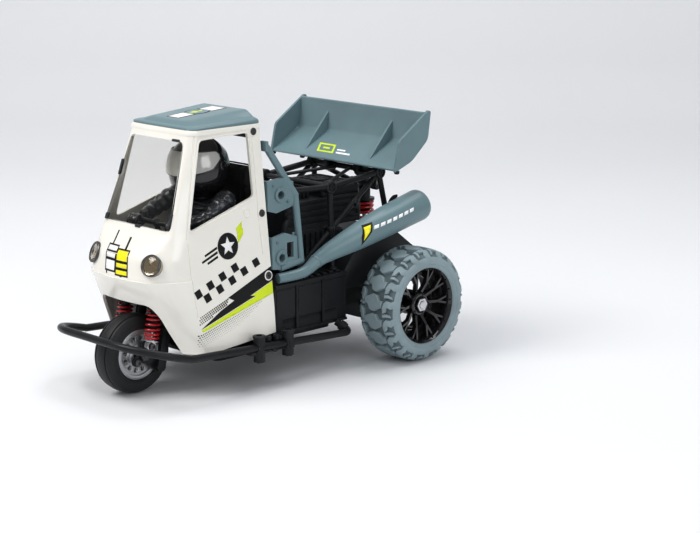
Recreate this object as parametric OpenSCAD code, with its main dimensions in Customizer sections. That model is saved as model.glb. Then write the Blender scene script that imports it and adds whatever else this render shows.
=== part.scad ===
// Three-wheeled cab racer, remote controlled: a white delivery-trike cab on a black
// chassis, with a sprung and steered front wheel, a live rear axle on a sprung swing
// frame, a roll cage, a wing and a side exhaust.
// Every module works in one frame: X forward from the rear axle, Y to the car's left,
// Z up from the ground. on_car() then moves the whole car so that X = 0 is its middle.

/* [Overall] */
// Distance between the front and rear axles
wheelbase = 174.2; // [172:0.1:176]
// Width over the rear tyres
overall_width = 155; // [154:0.5:158]
// Diameter of the steel screws that hold the cab
screw_d = 2.6; // [2.2:0.1:3]

/* [Rear wheels] */
// Outer radius of a rear tyre
rear_tyre_r = 35.8; // [35:0.1:36]
// Width of a rear tyre
rear_tyre_w = 30; // [28:0.5:30]
// Radius of a rear rim at its flange
rear_rim_r = 24.5; // [24:0.1:25]
// Diameter of the rear axle
rear_axle_d = 5; // [4.5:0.1:5]

/* [Front wheel] */
// Outer radius of the front tyre
front_tyre_r = 23.8; // [23:0.1:24]
// Width of the front tyre
front_tyre_w = 15.5; // [15:0.1:16]
// Radius of the front rim at its flange
front_rim_r = 15; // [14.5:0.1:15]
// Diameter of the front axle
front_axle_d = 3; // [2.8:0.1:3]

/* [Steering] */
// Backward lean of the steering axis, in degrees
rake = 12; // [11:0.5:13]
// Length of the servo horn and of the steering arm, between centres
steer_arm = 9; // [8.5:0.1:9.5]
// Distance between the steering axis and the servo's output axis
servo_gap = 34; // [33:0.5:35]

/* [Cab] */
// Thickness of the moulded cab wall
cab_wall = 1.8; // [1.4:0.1:2]
// Half the width of the cab at the sill
sill_y = 44; // [43:0.1:44]
// Half the width of the cab at the gutter under the roof
gutter_y = 29.5; // [29:0.1:30]
// Height of the gutter above the ground
gutter_z = 156; // [155.5:0.1:156.5]

/* [Drive] */
// Teeth on the axle gear
spur_teeth = 36; // [36:1:36]
// Teeth on the motor pinion
pinion_teeth = 12; // [12:1:12]
// Gear module
gear_module = 0.8; // [0.8:0.1:0.8]

/* [Bumper and wing] */
// Radius of the bumper tube
rail_r = 2.3; // [2:0.1:2.4]
// Half the distance between the side rails
rail_y = 50; // [49.5:0.1:50.5]
// Half the width of the wing
wing_y = 57.5; // [56:0.5:58]

/* [Hidden] */
$fn = 48;
eps = 0.01;
run = 0.05;               // radial clearance of a running fit
open_eye = 0.55;          // radial clearance where a linkage loop is left open
bend_swell = 1.05;        // a bend is this much thicker than its tube
rail_front_x = 203;       // centre line of the bumper at its nose
mid_x = (rail_front_x + rail_r - rear_tyre_r) / 2;

rear_z = rear_tyre_r;
rear_in_y = overall_width / 2 - rear_tyre_w;
rear_out_y = overall_width / 2;
rear_axle_r = rear_axle_d / 2;

front_z = front_tyre_r;
front_axle_r = front_axle_d / 2;
steer_lead = 1.4;         // the front axle sits this far ahead of the steering axis
axle_u = steer_lead * cos(rake);
axle_w = -steer_lead * sin(rake);
pivot_u = -11.3;          // front arm pivot, in the steering frame
pivot_w = -6.1;
eye_w = 6.3;              // lower shock eye
top_w = 33.5;             // upper shock eye
shock_y = 14;
pin_r = 1.5;
link_pin_r = 1.2;
stem_r = 3;
bush_r = 4;

swing_x = 44;             // swing frame pivot
swing_z = 36;
shock_x = -20;            // rear shock
shock_low_z = 64;
shock_top_z = 102;

spur_r = gear_module * spur_teeth / 2;
pinion_r = gear_module * pinion_teeth / 2;
gear_tilt = 20;
motor_x = (spur_r + pinion_r) * cos(gear_tilt);
motor_z = rear_z + (spur_r + pinion_r) * sin(gear_tilt);

cab_back_x = 98.8;
deck_z = 24;              // top of the chassis plate
tray_x = 98;              // middle of the battery tray
tray_z = 13;              // underside of the battery tray
swing_pin_r = 2;
floor_z = 78;             // top of the cab floor

cab_white = [0.93, 0.92, 0.89];
blue_grey = [0.36, 0.47, 0.5];
tyre_grey = [0.55, 0.63, 0.65];
black = [0.05, 0.05, 0.055];
soft_black = [0.09, 0.09, 0.1];
silver = [0.75, 0.75, 0.76];
red = [0.65, 0.03, 0.04];
smoke = [0.75, 0.74, 0.72, 0.4];

// ---------- helpers ----------

module on_car() translate([-mid_x, 0, 0]) children();

// The steering frame: w runs up the steering axis, u forward, from the axle's height.
module on_steer()
    on_car() translate([wheelbase - steer_lead, 0, front_z]) rotate([0, -rake, 0]) children();

module both_sides() {
    children();
    mirror([0, 1, 0]) children();
}

// A cylinder along Y from y0 to y1.
module y_rod(r, y0, y1) translate([0, y1, 0]) rotate([90, 0, 0]) cylinder(r = r, h = y1 - y0);

// A plate in the X-Z plane between y0 and y1, from a flat outline.
module y_plate(y0, y1) translate([0, y1, 0]) rotate([90, 0, 0]) linear_extrude(y1 - y0) children();

// A bar between two points, round or with a number of flats.
module bar(p, q, r, r2 = -1, sides = 32) {
    d = q - p;
    len = norm(d);
    translate(p) rotate([0, acos(d[2] / len), atan2(d[1], d[0])])
        cylinder(h = len, r1 = r, r2 = r2 < 0 ? r : r2, $fn = sides);
}

// A bent tube through a list of points, with a slightly proud ball at each inner bend.
module tube_path(pts, r) {
    for (i = [0 : len(pts) - 2]) bar(pts[i], pts[i + 1], r);
    for (i = [1 : len(pts) - 2]) translate(pts[i]) sphere(r = r * bend_swell, $fn = 32);
}

// A flat link between two points, rounded at both ends.
module link2d(p, q, r) {
    d = (q - p) / norm(q - p);
    n = [-d[1], d[0]] * r;
    polygon([p + n, p - n, q - n, q + n]);
    translate(p) circle(r = r);
    translate(q) circle(r = r);
}

// A closed outline from its upper half, mirrored in the flat X axis.
function mirrored_outline(half) =
    concat(half, [for (i = [len(half) - 1 : -1 : 0]) [half[i][0], -half[i][1]]]);

// A box with rounded vertical edges, centred in X and Y.
module pad(size, r) {
    x = size[0] / 2 - r;
    y = size[1] / 2 - r;
    linear_extrude(size[2]) union() {
        square([size[0], 2 * y], center = true);
        square([2 * x, size[1]], center = true);
        for (i = [-1, 1], j = [-1, 1]) translate([i * x, j * y]) circle(r = r);
    }
}

// A coil spring standing on z = 0, as one swept solid.
module coil(height, r, wire, turns) {
    steps = ceil(turns * 14);
    sides = 6;
    rise = (height - 2 * wire) / steps;
    pts = [for (i = [0 : steps], j = [0 : sides - 1])
        let (a = 360 * turns * i / steps, b = 360 * j / sides, q = r + wire * cos(b))
        [q * cos(a), q * sin(a), wire + rise * i + wire * sin(b)]];
    skin = [for (i = [0 : steps - 1], j = [0 : sides - 1])
        let (k = (j + 1) % sides)
        [i * sides + j, (i + 1) * sides + j, (i + 1) * sides + k, i * sides + k]];
    first = [for (j = [0 : sides - 1]) j];
    last = [for (j = [sides - 1 : -1 : 0]) steps * sides + j];
    polyhedron(points = pts, faces = concat([first], skin, [last]), convexity = 10);
}

function polar(r, a) = [r * cos(a), r * sin(a)];
function unit(v) = v / norm(v);
function place(ring) = [ring[0], ring[1], ring[2]];

// A smooth curve through a list of points: the point at share t after point i.
function spline(p, i, t) =
    let (a = p[max(i - 1, 0)], b = p[i], c = p[i + 1], d = p[min(i + 2, len(p) - 1)])
    0.5 * (2 * b + (c - a) * t + (2 * a - 5 * b + 4 * c - d) * t * t
        + (3 * b - a - 3 * c + d) * t * t * t);

// A tube through rings [x, y, z, radius], as one swept solid. It never runs straight up.
module sweep(rings, sides) {
    n = len(rings);
    pts = [for (i = [0 : n - 1])
        let (c = place(rings[i]),
            t = unit(unit(place(rings[min(i + 1, n - 1)]) - place(rings[max(i - 1, 0)]))),
            side = unit(cross(t, [0, 0, 1])),
            up = cross(side, t))
        for (j = [0 : sides - 1])
            c + rings[i][3] * (side * cos(360 * j / sides) + up * sin(360 * j / sides))];
    skin = [for (i = [0 : n - 2], j = [0 : sides - 1])
        let (k = (j + 1) % sides)
        [i * sides + j, (i + 1) * sides + j, (i + 1) * sides + k, i * sides + k]];
    first = [for (j = [0 : sides - 1]) j];
    last = [for (j = [sides - 1 : -1 : 0]) (n - 1) * sides + j];
    polyhedron(points = pts, faces = concat([first], skin, [last]), convexity = 6);
}

// A straight-flanked gear outline, with backlash.
module gear2d(teeth, module_mm) {
    pitch = module_mm * teeth / 2;
    tip = pitch + 0.8 * module_mm;
    root = pitch - 1.1 * module_mm;
    half = 360 / teeth * 0.21;
    polygon([for (i = [0 : teeth - 1], k = [[root, -1.7], [tip, -0.5], [tip, 0.5], [root, 1.7]])
        polar(k[0], 360 * i / teeth + k[1] * half)]);
}

// ---------- chassis ----------

module chassis_plate() color(black) on_car() difference() {
    union() {
        translate([92, 0, deck_z - 2.5]) pad([108, 60, 2.5], 6);
        translate([tray_x, 0, tray_z]) pad([56, 42, deck_z - tray_z - 1], 4);
        both_sides() {
            // Cheeks that carry the steering head and hold the servo between them
            translate([wheelbase - steer_lead, 0, front_z]) rotate([0, -rake, 0])
                y_plate(8, 11) polygon([[-27.4, 5], [-24, 38.5], [-5, 38.5], [-5, 48],
                    [-50, 48], [-46.9, 9.2]]);
            // Lugs for the swing frame's pivot pin
            y_plate(26, 29.5) {
                translate([swing_x, swing_z]) circle(r = 5.5);
                translate([swing_x - 5.5, deck_z - 1]) square([11, swing_z - deck_z + 1]);
            }
        }
    }
    translate([tray_x, 0, tray_z + 1.5]) pad([50, 38, 18], 3);
    translate([swing_x, 0, swing_z]) y_rod(swing_pin_r + 0.01, -40, 40);
    translate([56, 20.4, 0]) cube([10, 3.2, 40]);
}

module tub() color(soft_black) on_car() difference() {
    translate([36, -40, 27]) cube([60.5, 80, 31]);
    translate([38, -38, 20]) cube([62, 76, 36]);
    translate([30, -31, 20]) cube([20, 62, 36]);
    // Shallow recess along the lower side
    both_sides() translate([44, 39.2, 29]) cube([46, 2, 7]);
}

module battery() color([0.12, 0.2, 0.45]) on_car()
    translate([tray_x, 0, tray_z + 1.6]) pad([46, 34, 17], 4);

module receiver() color([0.06, 0.2, 0.12]) on_car()
    translate([60.5, -4, deck_z + 0.05]) pad([15, 30, 11], 1.5);

module switch_body() color(black) on_car()
    translate([61, 22, deck_z + 0.05]) pad([12, 9, 6], 1);

module switch_slider() color(silver) on_car() {
    translate([58.5, 22, deck_z - 3.6]) pad([3.4, 2.6, 3.6], 0.6);
    translate([58.5, 22, deck_z - 4.6]) pad([4, 3.4, 1.2], 0.6);
}

module pivot_pin() color(silver) on_car() translate([swing_x, 0, swing_z]) {
    y_rod(swing_pin_r, -30.5, 30.5);
    both_sides() y_rod(3.4, 30.2, 31.6);
}

// ---------- steering ----------

module steering_servo() color(black) on_steer() {
    translate([-servo_gap - 4, 0, 24]) pad([20, 12.6, 22.5], 1.2);
    translate([-servo_gap, 0, 46]) cylinder(r = 2, h = 5);
}

module steering_head() color(black) on_steer() difference() {
    translate([0, 0, 38.5]) {
        cylinder(r = 7.5, h = 9.5);
        translate([-17, -7.95, 0]) cube([17, 15.9, 9.5]);
    }
    translate([0, 0, 30]) cylinder(r = bush_r + 0.01, h = 30);
}

module stem_bushes() color([0.7, 0.5, 0.25]) on_steer() for (w = [38.6, 44.0])
    translate([0, 0, w]) difference() {
        cylinder(r = bush_r, h = 3.9);
        translate([0, 0, -1]) cylinder(r = stem_r + run, h = 6);
    }

module servo_horn() color("white") on_steer() translate([-servo_gap, 0, 48.3]) difference() {
    union() {
        linear_extrude(3) link2d([0, 0], [0, -steer_arm], 3);
        cylinder(r = 4, h = 3);
        translate([0, -steer_arm, 0]) cylinder(r = link_pin_r, h = 5.4);
    }
    translate([0, 0, -1]) cylinder(r = 2 + run, h = 3.8);
}

module drag_link() color(silver) on_steer() translate([0, -steer_arm, 51.4]) difference() {
    linear_extrude(1.6) {
        link2d([-servo_gap, 0], [0, 0], 1.6);
        circle(r = 3);
        translate([-servo_gap, 0]) circle(r = 3);
    }
    for (u = [-servo_gap, 0]) translate([u, 0, -1]) cylinder(r = link_pin_r + 0.1, h = 4);
}

module fork() color(black) on_steer() {
    translate([-14.2, -11.5, 32]) cube([20.2, 23, 5]);
    cylinder_at([0, 0, 36.5], stem_r, 15);
    both_sides() {
        y_plate(11.3, 14) {
            translate([-14.2, pivot_w]) square([5.7, 37 - pivot_w]);
            translate([pivot_u, pivot_w]) circle(r = 3);
        }
        translate([pivot_u, 0, pivot_w]) y_rod(pin_r, 8.8, 12);
        translate([0, 0, top_w]) y_rod(pin_r, 11, 16.4);
    }
}

module cylinder_at(p, r, h) translate(p) cylinder(r = r, h = h);

module steering_arm() color(black) on_steer() translate([0, 0, 48.2]) difference() {
    union() {
        linear_extrude(3) link2d([0, 0], [0, -steer_arm], 3);
        cylinder(r = 5.5, h = 3);
        translate([0, -steer_arm, 0]) cylinder(r = link_pin_r, h = 5.4);
    }
    translate([0, 0, -1]) cylinder(r = stem_r + 0.01, h = 6);
}

// ---------- front wheel and its suspension ----------

module front_arms() color(black) on_steer() both_sides() {
    difference() {
        y_plate(9.2, 11.1) {
            link2d([pivot_u, pivot_w], [axle_u, axle_w], 3.2);
            link2d([pivot_u, pivot_w], [0, eye_w], 2.6);
            link2d([axle_u, axle_w], [0, eye_w], 2.6);
            link2d([axle_u, axle_w], [5.4, -4.4], 2.6);
        }
        translate([pivot_u, 0, pivot_w]) y_rod(pin_r + run, 0, 20);
        translate([axle_u, 0, axle_w]) y_rod(front_axle_r + 0.01, 0, 20);
    }
    translate([0, 0, eye_w]) y_rod(link_pin_r, 11, 16.4);
    translate([5.4, 0, -4.4]) y_rod(1.7, 11, 12);
}

module front_axle() color(silver) on_steer() translate([axle_u, 0, axle_w]) {
    y_rod(front_axle_r, -12, 12);
    both_sides() y_rod(2.4, 11.2, 12.2);
}

// A ring about the Y axis, from inner radius a to outer radius b.
module y_ring(a, b, y0, y1) rotate([90, 0, 0]) translate([0, 0, -y1]) difference() {
    cylinder(r = b, h = y1 - y0, $fn = 96);
    translate([0, 0, -1]) cylinder(r = a, h = y1 - y0 + 2, $fn = 96);
}

module front_bearings() color(silver) on_steer() translate([axle_u, 0, axle_w]) both_sides()
    y_ring(front_axle_r + run, 4, 3.6, 6.6);

module front_rim() color(silver) on_steer() translate([axle_u, 0, axle_w]) difference() {
    union() {
        y_ring(4.01, 6.4, -6.6, 6.6);
        y_ring(6.2, 12.8, 4.2, 5.8);
        y_ring(6.2, 12.8, -5.8, -4.2);
        y_ring(12.6, 14, -6.9, 6.9);
        y_ring(13, front_rim_r, 6.1, 6.9);
        y_ring(13, front_rim_r, -6.9, -6.1);
    }
    for (i = [0 : 11]) rotate([0, 30 * i, 0]) translate([9.6, 0, 0]) y_rod(1.4, -9, 9);
}

module front_tyre() color(black) on_steer() translate([axle_u, 0, axle_w]) {
    half = front_tyre_w / 2;
    r = front_tyre_r;
    side = [[14.05, 6.05], [front_rim_r + 0.05, 6.05], [front_rim_r + 0.05, half - 0.5],
        [17, half], [r - 3.4, half], [r - 1.7, half - 0.8], [r - 0.7, half - 2.2],
        [r - 0.7, half - 3.2], [r - 1.3, half - 3.3], [r - 1.3, half - 4.1],
        [r, half - 4.3]];
    rotate([90, 0, 0]) rotate_extrude($fn = 96) polygon(mirrored_outline(side));
}

module front_shock_bodies() color(black) on_steer() both_sides() translate([0, shock_y, 0])
    difference() {
        union() {
            translate([0, 0, top_w]) y_rod(3, -1.6, 1.6);
            cylinder_at([0, 0, 15], 2.6, 17);
            cylinder_at([0, 0, 27.5], 5, 1);
        }
        translate([0, 0, top_w]) y_rod(pin_r + run, -3, 3);
        cylinder_at([0, 0, 14], 1 + run, 15.5);
    }

module front_shock_rods() color(silver) on_steer() both_sides() translate([0, shock_y, 0])
    difference() {
        union() {
            translate([0, 0, eye_w]) y_rod(3.2, -1.6, 1.6);
            cylinder_at([0, 0, 9.2], 5, 1);
            cylinder_at([0, 0, 8.6], 1, 18.4);
        }
        translate([0, 0, eye_w]) y_rod(link_pin_r + open_eye, -3, 3);
    }

module front_springs() color(red) on_steer() both_sides() translate([0, shock_y, 10.25])
    coil(17.2, 4.15, 0.75, 5.5);

// ---------- rear swing frame and drive ----------

module swing_frame() color(black) on_car() difference() {
    union() {
        both_sides() y_plate(22, 25) {
            link2d([swing_x, swing_z], [0, rear_z], 5);
            translate([0, rear_z]) circle(r = 9);
            link2d([0, rear_z], [motor_x, motor_z], 7);
            link2d([0, rear_z], [shock_x, shock_low_z], 4);
        }
        translate([swing_x, 0, swing_z]) y_rod(4.5, -25, 25);
        translate([shock_x, 0, shock_low_z]) y_rod(2, -24, 24);
        translate([26, -24, 31.2]) cube([10, 34, 2.4]);
    }
    translate([swing_x, 0, swing_z]) y_rod(swing_pin_r + run, -30, 30);
    translate([0, 0, rear_z]) y_rod(5.01, -30, 30);
}

module gearbox_cover() color(soft_black) on_car() difference() {
    y_plate(11, 21.4) link2d([0, rear_z], [motor_x, motor_z], spur_r + 2.8);
    y_plate(12.4, 20) link2d([0, rear_z], [motor_x, motor_z], spur_r + 1.3);
    translate([0, 0, rear_z]) y_rod(rear_axle_r + 0.6, 5, 30);
    translate([motor_x, 0, motor_z]) y_rod(1.6, 5, 30);
}

module motor() color(silver) on_car() translate([motor_x, 0, motor_z]) difference() {
    union() {
        y_rod(10, -17, 10);
        y_rod(3, 9, 10.9);
        y_rod(3, -19, -16);
    }
    y_rod(1 + run, -6, 12);
}

module pinion() color([0.75, 0.6, 0.3]) on_car() translate([motor_x, 0, motor_z]) {
    // The spur gear has a tooth on the line of centres, so the pinion has a gap there
    rotate([0, -(180 + gear_tilt), 0]) y_plate(13.6, 18.4)
        rotate(180 / pinion_teeth) gear2d(pinion_teeth, gear_module);
    y_rod(1, -5, 19.2);
}

module spur_gear() color([0.85, 0.85, 0.8]) on_car() translate([0, 0, rear_z]) difference() {
    union() {
        rotate([0, -gear_tilt, 0]) y_plate(14, 18) gear2d(spur_teeth, gear_module);
        y_rod(5, 12.8, 19.6);
    }
    y_rod(rear_axle_r + 0.01, 5, 30);
    for (i = [0 : 5]) rotate([0, 60 * i, 0]) translate([9, 0, 0]) y_rod(2.2, 5, 30);
}

module rear_axle() color(silver) on_car() translate([0, 0, rear_z]) {
    y_rod(rear_axle_r, -72.5, 72.5);
    // Shoulders that keep the wheels off the bearings
    both_sides() y_ring(rear_axle_r - 0.2, 4.2, 25.4, 28);
}

module rear_bearings() color(silver) on_car() translate([0, 0, rear_z]) both_sides()
    y_ring(rear_axle_r + run, 5, 22, 25);

module rear_rims() color(black) on_car() translate([0, 0, rear_z]) both_sides() difference() {
    union() {
        y_ring(rear_axle_r + 0.01, 7, 56, 68);
        y_ring(6.8, 22.4, 62, 65.5);
        y_ring(22, 23.4, rear_in_y + 1, rear_out_y - 2.2);
        y_ring(23, rear_rim_r, rear_out_y - 3.7, rear_out_y - 2.2);
        y_ring(23, rear_rim_r, rear_in_y + 1, rear_in_y + 2.5);
    }
    for (i = [0 : 9]) rotate([0, 36 * i, 0]) translate([15.5, 0, 0]) y_rod(3.2, 50, 80);
}

module rear_tyres() color(tyre_grey) on_car() translate([0, 0, rear_z]) both_sides() {
    mid = (rear_in_y + rear_out_y) / 2;
    half = rear_tyre_w / 2;
    r = rear_tyre_r;
    bead = half - 3.75;
    side = [[23.45, bead], [rear_rim_r + 0.05, bead], [rear_rim_r + 0.05, half - 1.6],
        [26.5, half - 0.5], [29.5, half], [r - 3.4, half - 0.6], [r - 1.4, half - 2],
        [r - 0.4, half - 4.4], [r, half - 8]];
    translate([0, mid, 0]) rotate([90, 0, 0]) rotate_extrude($fn = 96)
        polygon(mirrored_outline(side));
}

module wheel_nuts() color(silver) on_car() translate([0, 0, rear_z]) both_sides()
    difference() {
        translate([0, 72.1, 0]) rotate([90, 0, 0]) cylinder(r = 4.6, h = 4, $fn = 6);
        y_rod(rear_axle_r + 0.01, 60, 80);
    }

module rear_shock_body() color(black) on_car() translate([shock_x, 0, 0]) difference() {
    union() {
        translate([0, 0, shock_top_z]) y_rod(3.8, -3, 3);
        cylinder_at([0, 0, 82], 4, 17);
        cylinder_at([0, 0, 91], 6.8, 1.5);
    }
    translate([0, 0, shock_top_z]) y_rod(pin_r + run, -5, 5);
    cylinder_at([0, 0, 81], 1.5 + run, 15);
}

module rear_shock_rod() color(silver) on_car() translate([shock_x, 0, 0]) difference() {
    union() {
        translate([0, 0, shock_low_z]) y_rod(4.4, -3, 3);
        cylinder_at([0, 0, shock_low_z + 4], 6.5, 1.2);
        cylinder_at([0, 0, shock_low_z + 3.5], 1.5, 23);
    }
    translate([0, 0, shock_low_z]) y_rod(2 + 0.45, -5, 5);
}

module rear_spring() color(red) on_car() translate([shock_x, 0, shock_low_z + 5.25])
    coil(91 - shock_low_z - 5.3, 5.6, 0.95, 6);

// ---------- cab ----------

// Half outlines of the cab, rear to nose, at rising heights. Between two heights the wall
// runs straight.
cab_rows = [
    [27, [[cab_back_x, sill_y], [154.2, sill_y], [162, 34], [165, 20], [166, 0]]],
    [48, [[cab_back_x, 42.2], [157.6, 42.2], [172.8, 28.5], [176, 18], [177, 0]]],
    [71.5, [[cab_back_x, 39.3], [160, 39.3], [172, 36.5], [181.5, 28], [185, 15], [186.8, 0]]],
    [84, [[cab_back_x, 37.9], [160, 37.6], [170, 36], [178.5, 27.5], [181.6, 15], [182.6, 0]]],
    [98, [[cab_back_x, 36.2], [159, 35.3], [168.6, 31.7], [169.6, 15], [169.8, 0]]],
    [gutter_z, [[cab_back_x, gutter_y], [146.5, gutter_y], [149.6, 25], [150.2, 10], [150.2, 0]]]];

// One thin slice of the cab, drawn in by t on the sides and nose and let out at the rear.
module cab_slice(row, t, z) {
    half = [for (p = row[1])
        [p[0] <= cab_back_x ? p[0] + (t > 0 ? 5 * -t : 0) : p[0] - t * 1.05, max(p[1] - t, 0)]];
    other = [for (i = [len(half) - 1 : -1 : 0]) [half[i][0], -half[i][1]]];
    translate([0, 0, z]) linear_extrude(eps) polygon(concat(half, other));
}

module cab_solid(t) for (i = [0 : len(cab_rows) - 2]) hull() {
    low = cab_rows[i];
    high = cab_rows[i + 1];
    cab_slice(low, t, i == 0 && t > 0 ? low[0] - 1 : low[0]);
    cab_slice(high, t, i == len(cab_rows) - 2 ? high[0] - eps - t : high[0]);
}

// Places a child at the left headlight, with Z along the lamp's axis.
module at_lamp() translate([179.5, 26.4, 81.3]) rotate([0, 0, 19]) rotate([0, 90 - 22, 0]) children();

// Places a child at each left-hand cab screw, with Z pointing out of the side wall.
module at_cab_screws() for (p = [[104, 30, 151.5], [102.6, 35.6, 103], [101.5, 40, 65.5]])
    translate(p) rotate([-90 + 6.7, 0, 0]) children();

module cab_shell() color(cab_white) on_car() difference() {
    cab_solid(0);
    cab_solid(cab_wall);
    // Windscreen opening
    translate([140, 0, 0]) rotate([90, 0, 90]) linear_extrude(40)
        polygon([[-30.2, 99.5], [30.2, 99.5], [24.2, 149.5], [-24.2, 149.5]]);
    // Side windows
    y_plate(-50, 50) polygon([[156.4, 99.9], [144.8, 149.2], [111, 149.6], [110.4, 114]]);
    // Wheel arch in the front
    translate([150, 0, 0]) rotate([90, 0, 90]) linear_extrude(60)
        polygon([[-34.5, 20], [-28.5, 40], [-26.5, 50], [-23.5, 55.5], [23.5, 55.5],
            [26.5, 50], [28.5, 40], [34.5, 20]]);
    // The sill rises towards the rear
    y_plate(-60, 60) polygon([[90, 20], [90, 31.4], [150, 26.9], [150, 20]]);
    both_sides() {
        at_lamp() cylinder(r = 6.4, h = 16, center = true);
        at_cab_screws() cylinder(r = screw_d / 2 + 0.95, h = 8, center = true);
    }
}

module roof_cap() color(blue_grey) on_car() hull() {
    row = cab_rows[len(cab_rows) - 1];
    cab_slice([0, [for (p = row[1]) [p[0], max(p[1] - 0.2, 0)]]], 0, gutter_z + 0.05);
    cab_slice([0, [for (p = row[1]) [p[0], max(p[1] - 0.2, 0)]]], 0, gutter_z + 1.2);
    for (s = [-1, 1]) {
        cylinder_at([101.5, 17 * s, gutter_z + 6], 1.5, 1.5);
        cylinder_at([141, 14 * s, gutter_z + 3.4], 1.5, 1);
    }
}

module windshield() color(smoke) on_car() intersection() {
    y_plate(-31, 31) polygon([[169.0, 99.8], [167.8, 99.8], [150.7, 149.1], [151.9, 149.1]]);
    translate([140, 0, 0]) rotate([90, 0, 90]) linear_extrude(40)
        polygon([[-29.9, 99.8], [29.9, 99.8], [23.9, 149.2], [-23.9, 149.2]]);
}

module headlight_bowls() color([0.8, 0.78, 0.72]) on_car() both_sides() at_lamp() difference() {
    cylinder_at([0, 0, -6], 6.2, 6.4);
    cylinder_at([0, 0, -4.6], 5.4, 8);
}

module headlight_lenses() color([0.8, 0.72, 0.6, 0.5]) on_car() both_sides() at_lamp()
    cylinder_at([0, 0, -1.4], 5.3, 1.6);

module cab_back() color([0.16, 0.17, 0.18]) on_car() difference() {
    translate([cab_back_x - 1.8, 0, 0]) rotate([90, 0, 90]) linear_extrude(1.75)
        polygon([[-sill_y + 2.4, 32], [sill_y - 2.4, 32], [gutter_y - 2, gutter_z - 2.1],
            [-gutter_y + 2, gutter_z - 2.1]]);
    translate([cab_back_x - 5, -20, 112]) cube([10, 40, 34]);
}

module cab_floor() color(black) on_car() {
    translate([128, 0, floor_z]) pad([57, 64, 2], 5);
    // Dashboard
    translate([154, 0, floor_z + 1]) pad([14, 52, 9], 4);
}

module seat() color(black) on_car() translate([99.3, 0, 0]) rotate([90, 0, 90]) {
    linear_extrude(2.8) {
        translate([-24, floor_z + 2.1]) square([48, 44]);
        translate([-20, floor_z + 40]) square([40, 11]);
        both_sides_2d() translate([20, floor_z + 47.1]) circle(r = 4);
    }
    both_sides_2d() translate([24, floor_z + 2.1]) linear_extrude(12) square([3, 30]);
}

module both_sides_2d() {
    children();
    mirror([1, 0, 0]) children();
}

module driver_body() color(black) on_car() {
    $fn = 28;
    hull() for (s = [-1, 1]) {
        translate([117, 15 * s, 97]) sphere(r = 9);
        translate([119, 8 * s, 88.5]) sphere(r = 8);
    }
    for (s = [-1, 1]) {
        hull() {
            translate([118, 20 * s, 98]) sphere(r = 6.5);
            translate([133, 24 * s, 93]) sphere(r = 5.5);
        }
        hull() {
            translate([133, 24 * s, 93]) sphere(r = 5.5);
            translate([145.4, 19 * s, 97.2]) sphere(r = 4.4);
        }
    }
}

helmet_at = [121.5, 0, 127.6];
helmet_r = 19;
helmet_h = 19.8;
// Half outline of the helmet, grown by g, between two angles of elevation.
function helmet_arc(g, a0, a1, n) = [for (i = [0 : n])
    let (a = a0 + (a1 - a0) * i / n) [(helmet_r + g) * cos(a), (helmet_h + g) * sin(a)]];

module driver_helmet() color(black) on_car() translate(helmet_at) rotate_extrude($fn = 64)
    polygon(concat([[0, -helmet_h * sin(72)]], helmet_arc(0, -72, 90, 18)));

module driver_visor() color([0.62, 0.62, 0.6]) on_car() translate(helmet_at) rotate([0, 0, -80])
    rotate_extrude(angle = 160, $fn = 64)
        polygon(concat(helmet_arc(0.1, -24, 24, 8), helmet_arc(1.3, 24, -24, 8)));

module driver_gloves() color(black) on_car() both_sides() hull() {
    translate([154.5, 17.5, 98.5]) sphere(r = 4.4, $fn = 28);
    translate([155.5, 19.5, 97]) sphere(r = 4.2, $fn = 28);
}

module handlebar() color(black) on_car() {
    cylinder_at([151.2, 0, floor_z + 10.05], 3.4, 1.6);
    bar([151.2, 0, floor_z + 10.8], [153.5, 0, 99], 1.6);
    bar([153.5, -12.4, 99], [153.5, 12.4, 99], 1.6);
    translate([153.5, 0, 99]) sphere(r = 2.4, $fn = 32);
}

module cab_screws() color([0.3, 0.3, 0.3]) on_car() both_sides() at_cab_screws() difference() {
    union() {
        cylinder_at([0, 0, -0.5], screw_d / 2 + 0.85, 1.1);
        cylinder_at([0, 0, -6], screw_d / 2, 6);
    }
    for (a = [0, 90]) rotate(a) translate([-1.1, -0.2, 0]) cube([2.2, 0.4, 2]);
}

// ---------- bumper, racks and cage ----------

// The bumper is one tube: a stub from the tub, a side rail, and a nose bow in a plane
// that rises towards the front.
rail_stub = [46, 41.5, 27.5];
rail_rear = [42, rail_y, 22];
rail_mid = [170, rail_y, 28.6];
bow_r = 30;
bow_tilt = 15.3;
bow_reach = (rail_front_x - rail_mid[0]) / cos(bow_tilt) - bow_r;

// A rounded bend at corner q on the way from p to r, starting d before it.
function bend(p, q, r, d) = [for (t = [0 : 0.25 : 1])
    (1 - t) * (1 - t) * (q + d * unit(p - q)) + 2 * t * (1 - t) * q + t * t * (q + d * unit(r - q))];

function bow_point(a) =
    let (u = bow_reach + bow_r * sin(a))
    [rail_mid[0] + u * cos(bow_tilt), rail_y - bow_r + bow_r * cos(a),
        rail_mid[2] + u * sin(bow_tilt)];

rail_left = concat([rail_stub], bend(rail_stub, rail_rear, rail_mid, 5), [rail_mid],
    [for (a = [0 : 11.25 : 90]) bow_point(a)]);

module bumper_rail() color(black) on_car() {
    n = len(rail_left);
    sweep(concat([for (p = rail_left) [p[0], p[1], p[2], rail_r]],
        [for (i = [n - 1 : -1 : 0]) [rail_left[i][0], -rail_left[i][1], rail_left[i][2], rail_r]]), 16);
}

module bumper_brackets() color(soft_black) on_car() both_sides() difference() {
    union() {
        translate([108, 40.6, 22]) pad([34, 21, 2.2], 2);
        for (x = [95, 118]) translate([x, rail_y, 17.5]) cylinder(r = 3.5, h = 15);
        for (x = [101, 108]) translate([x, 46.6, 22]) cylinder(r = 2.2, h = 7.5);
    }
    bar(rail_rear, rail_mid, rail_r + 0.3);
}

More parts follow.
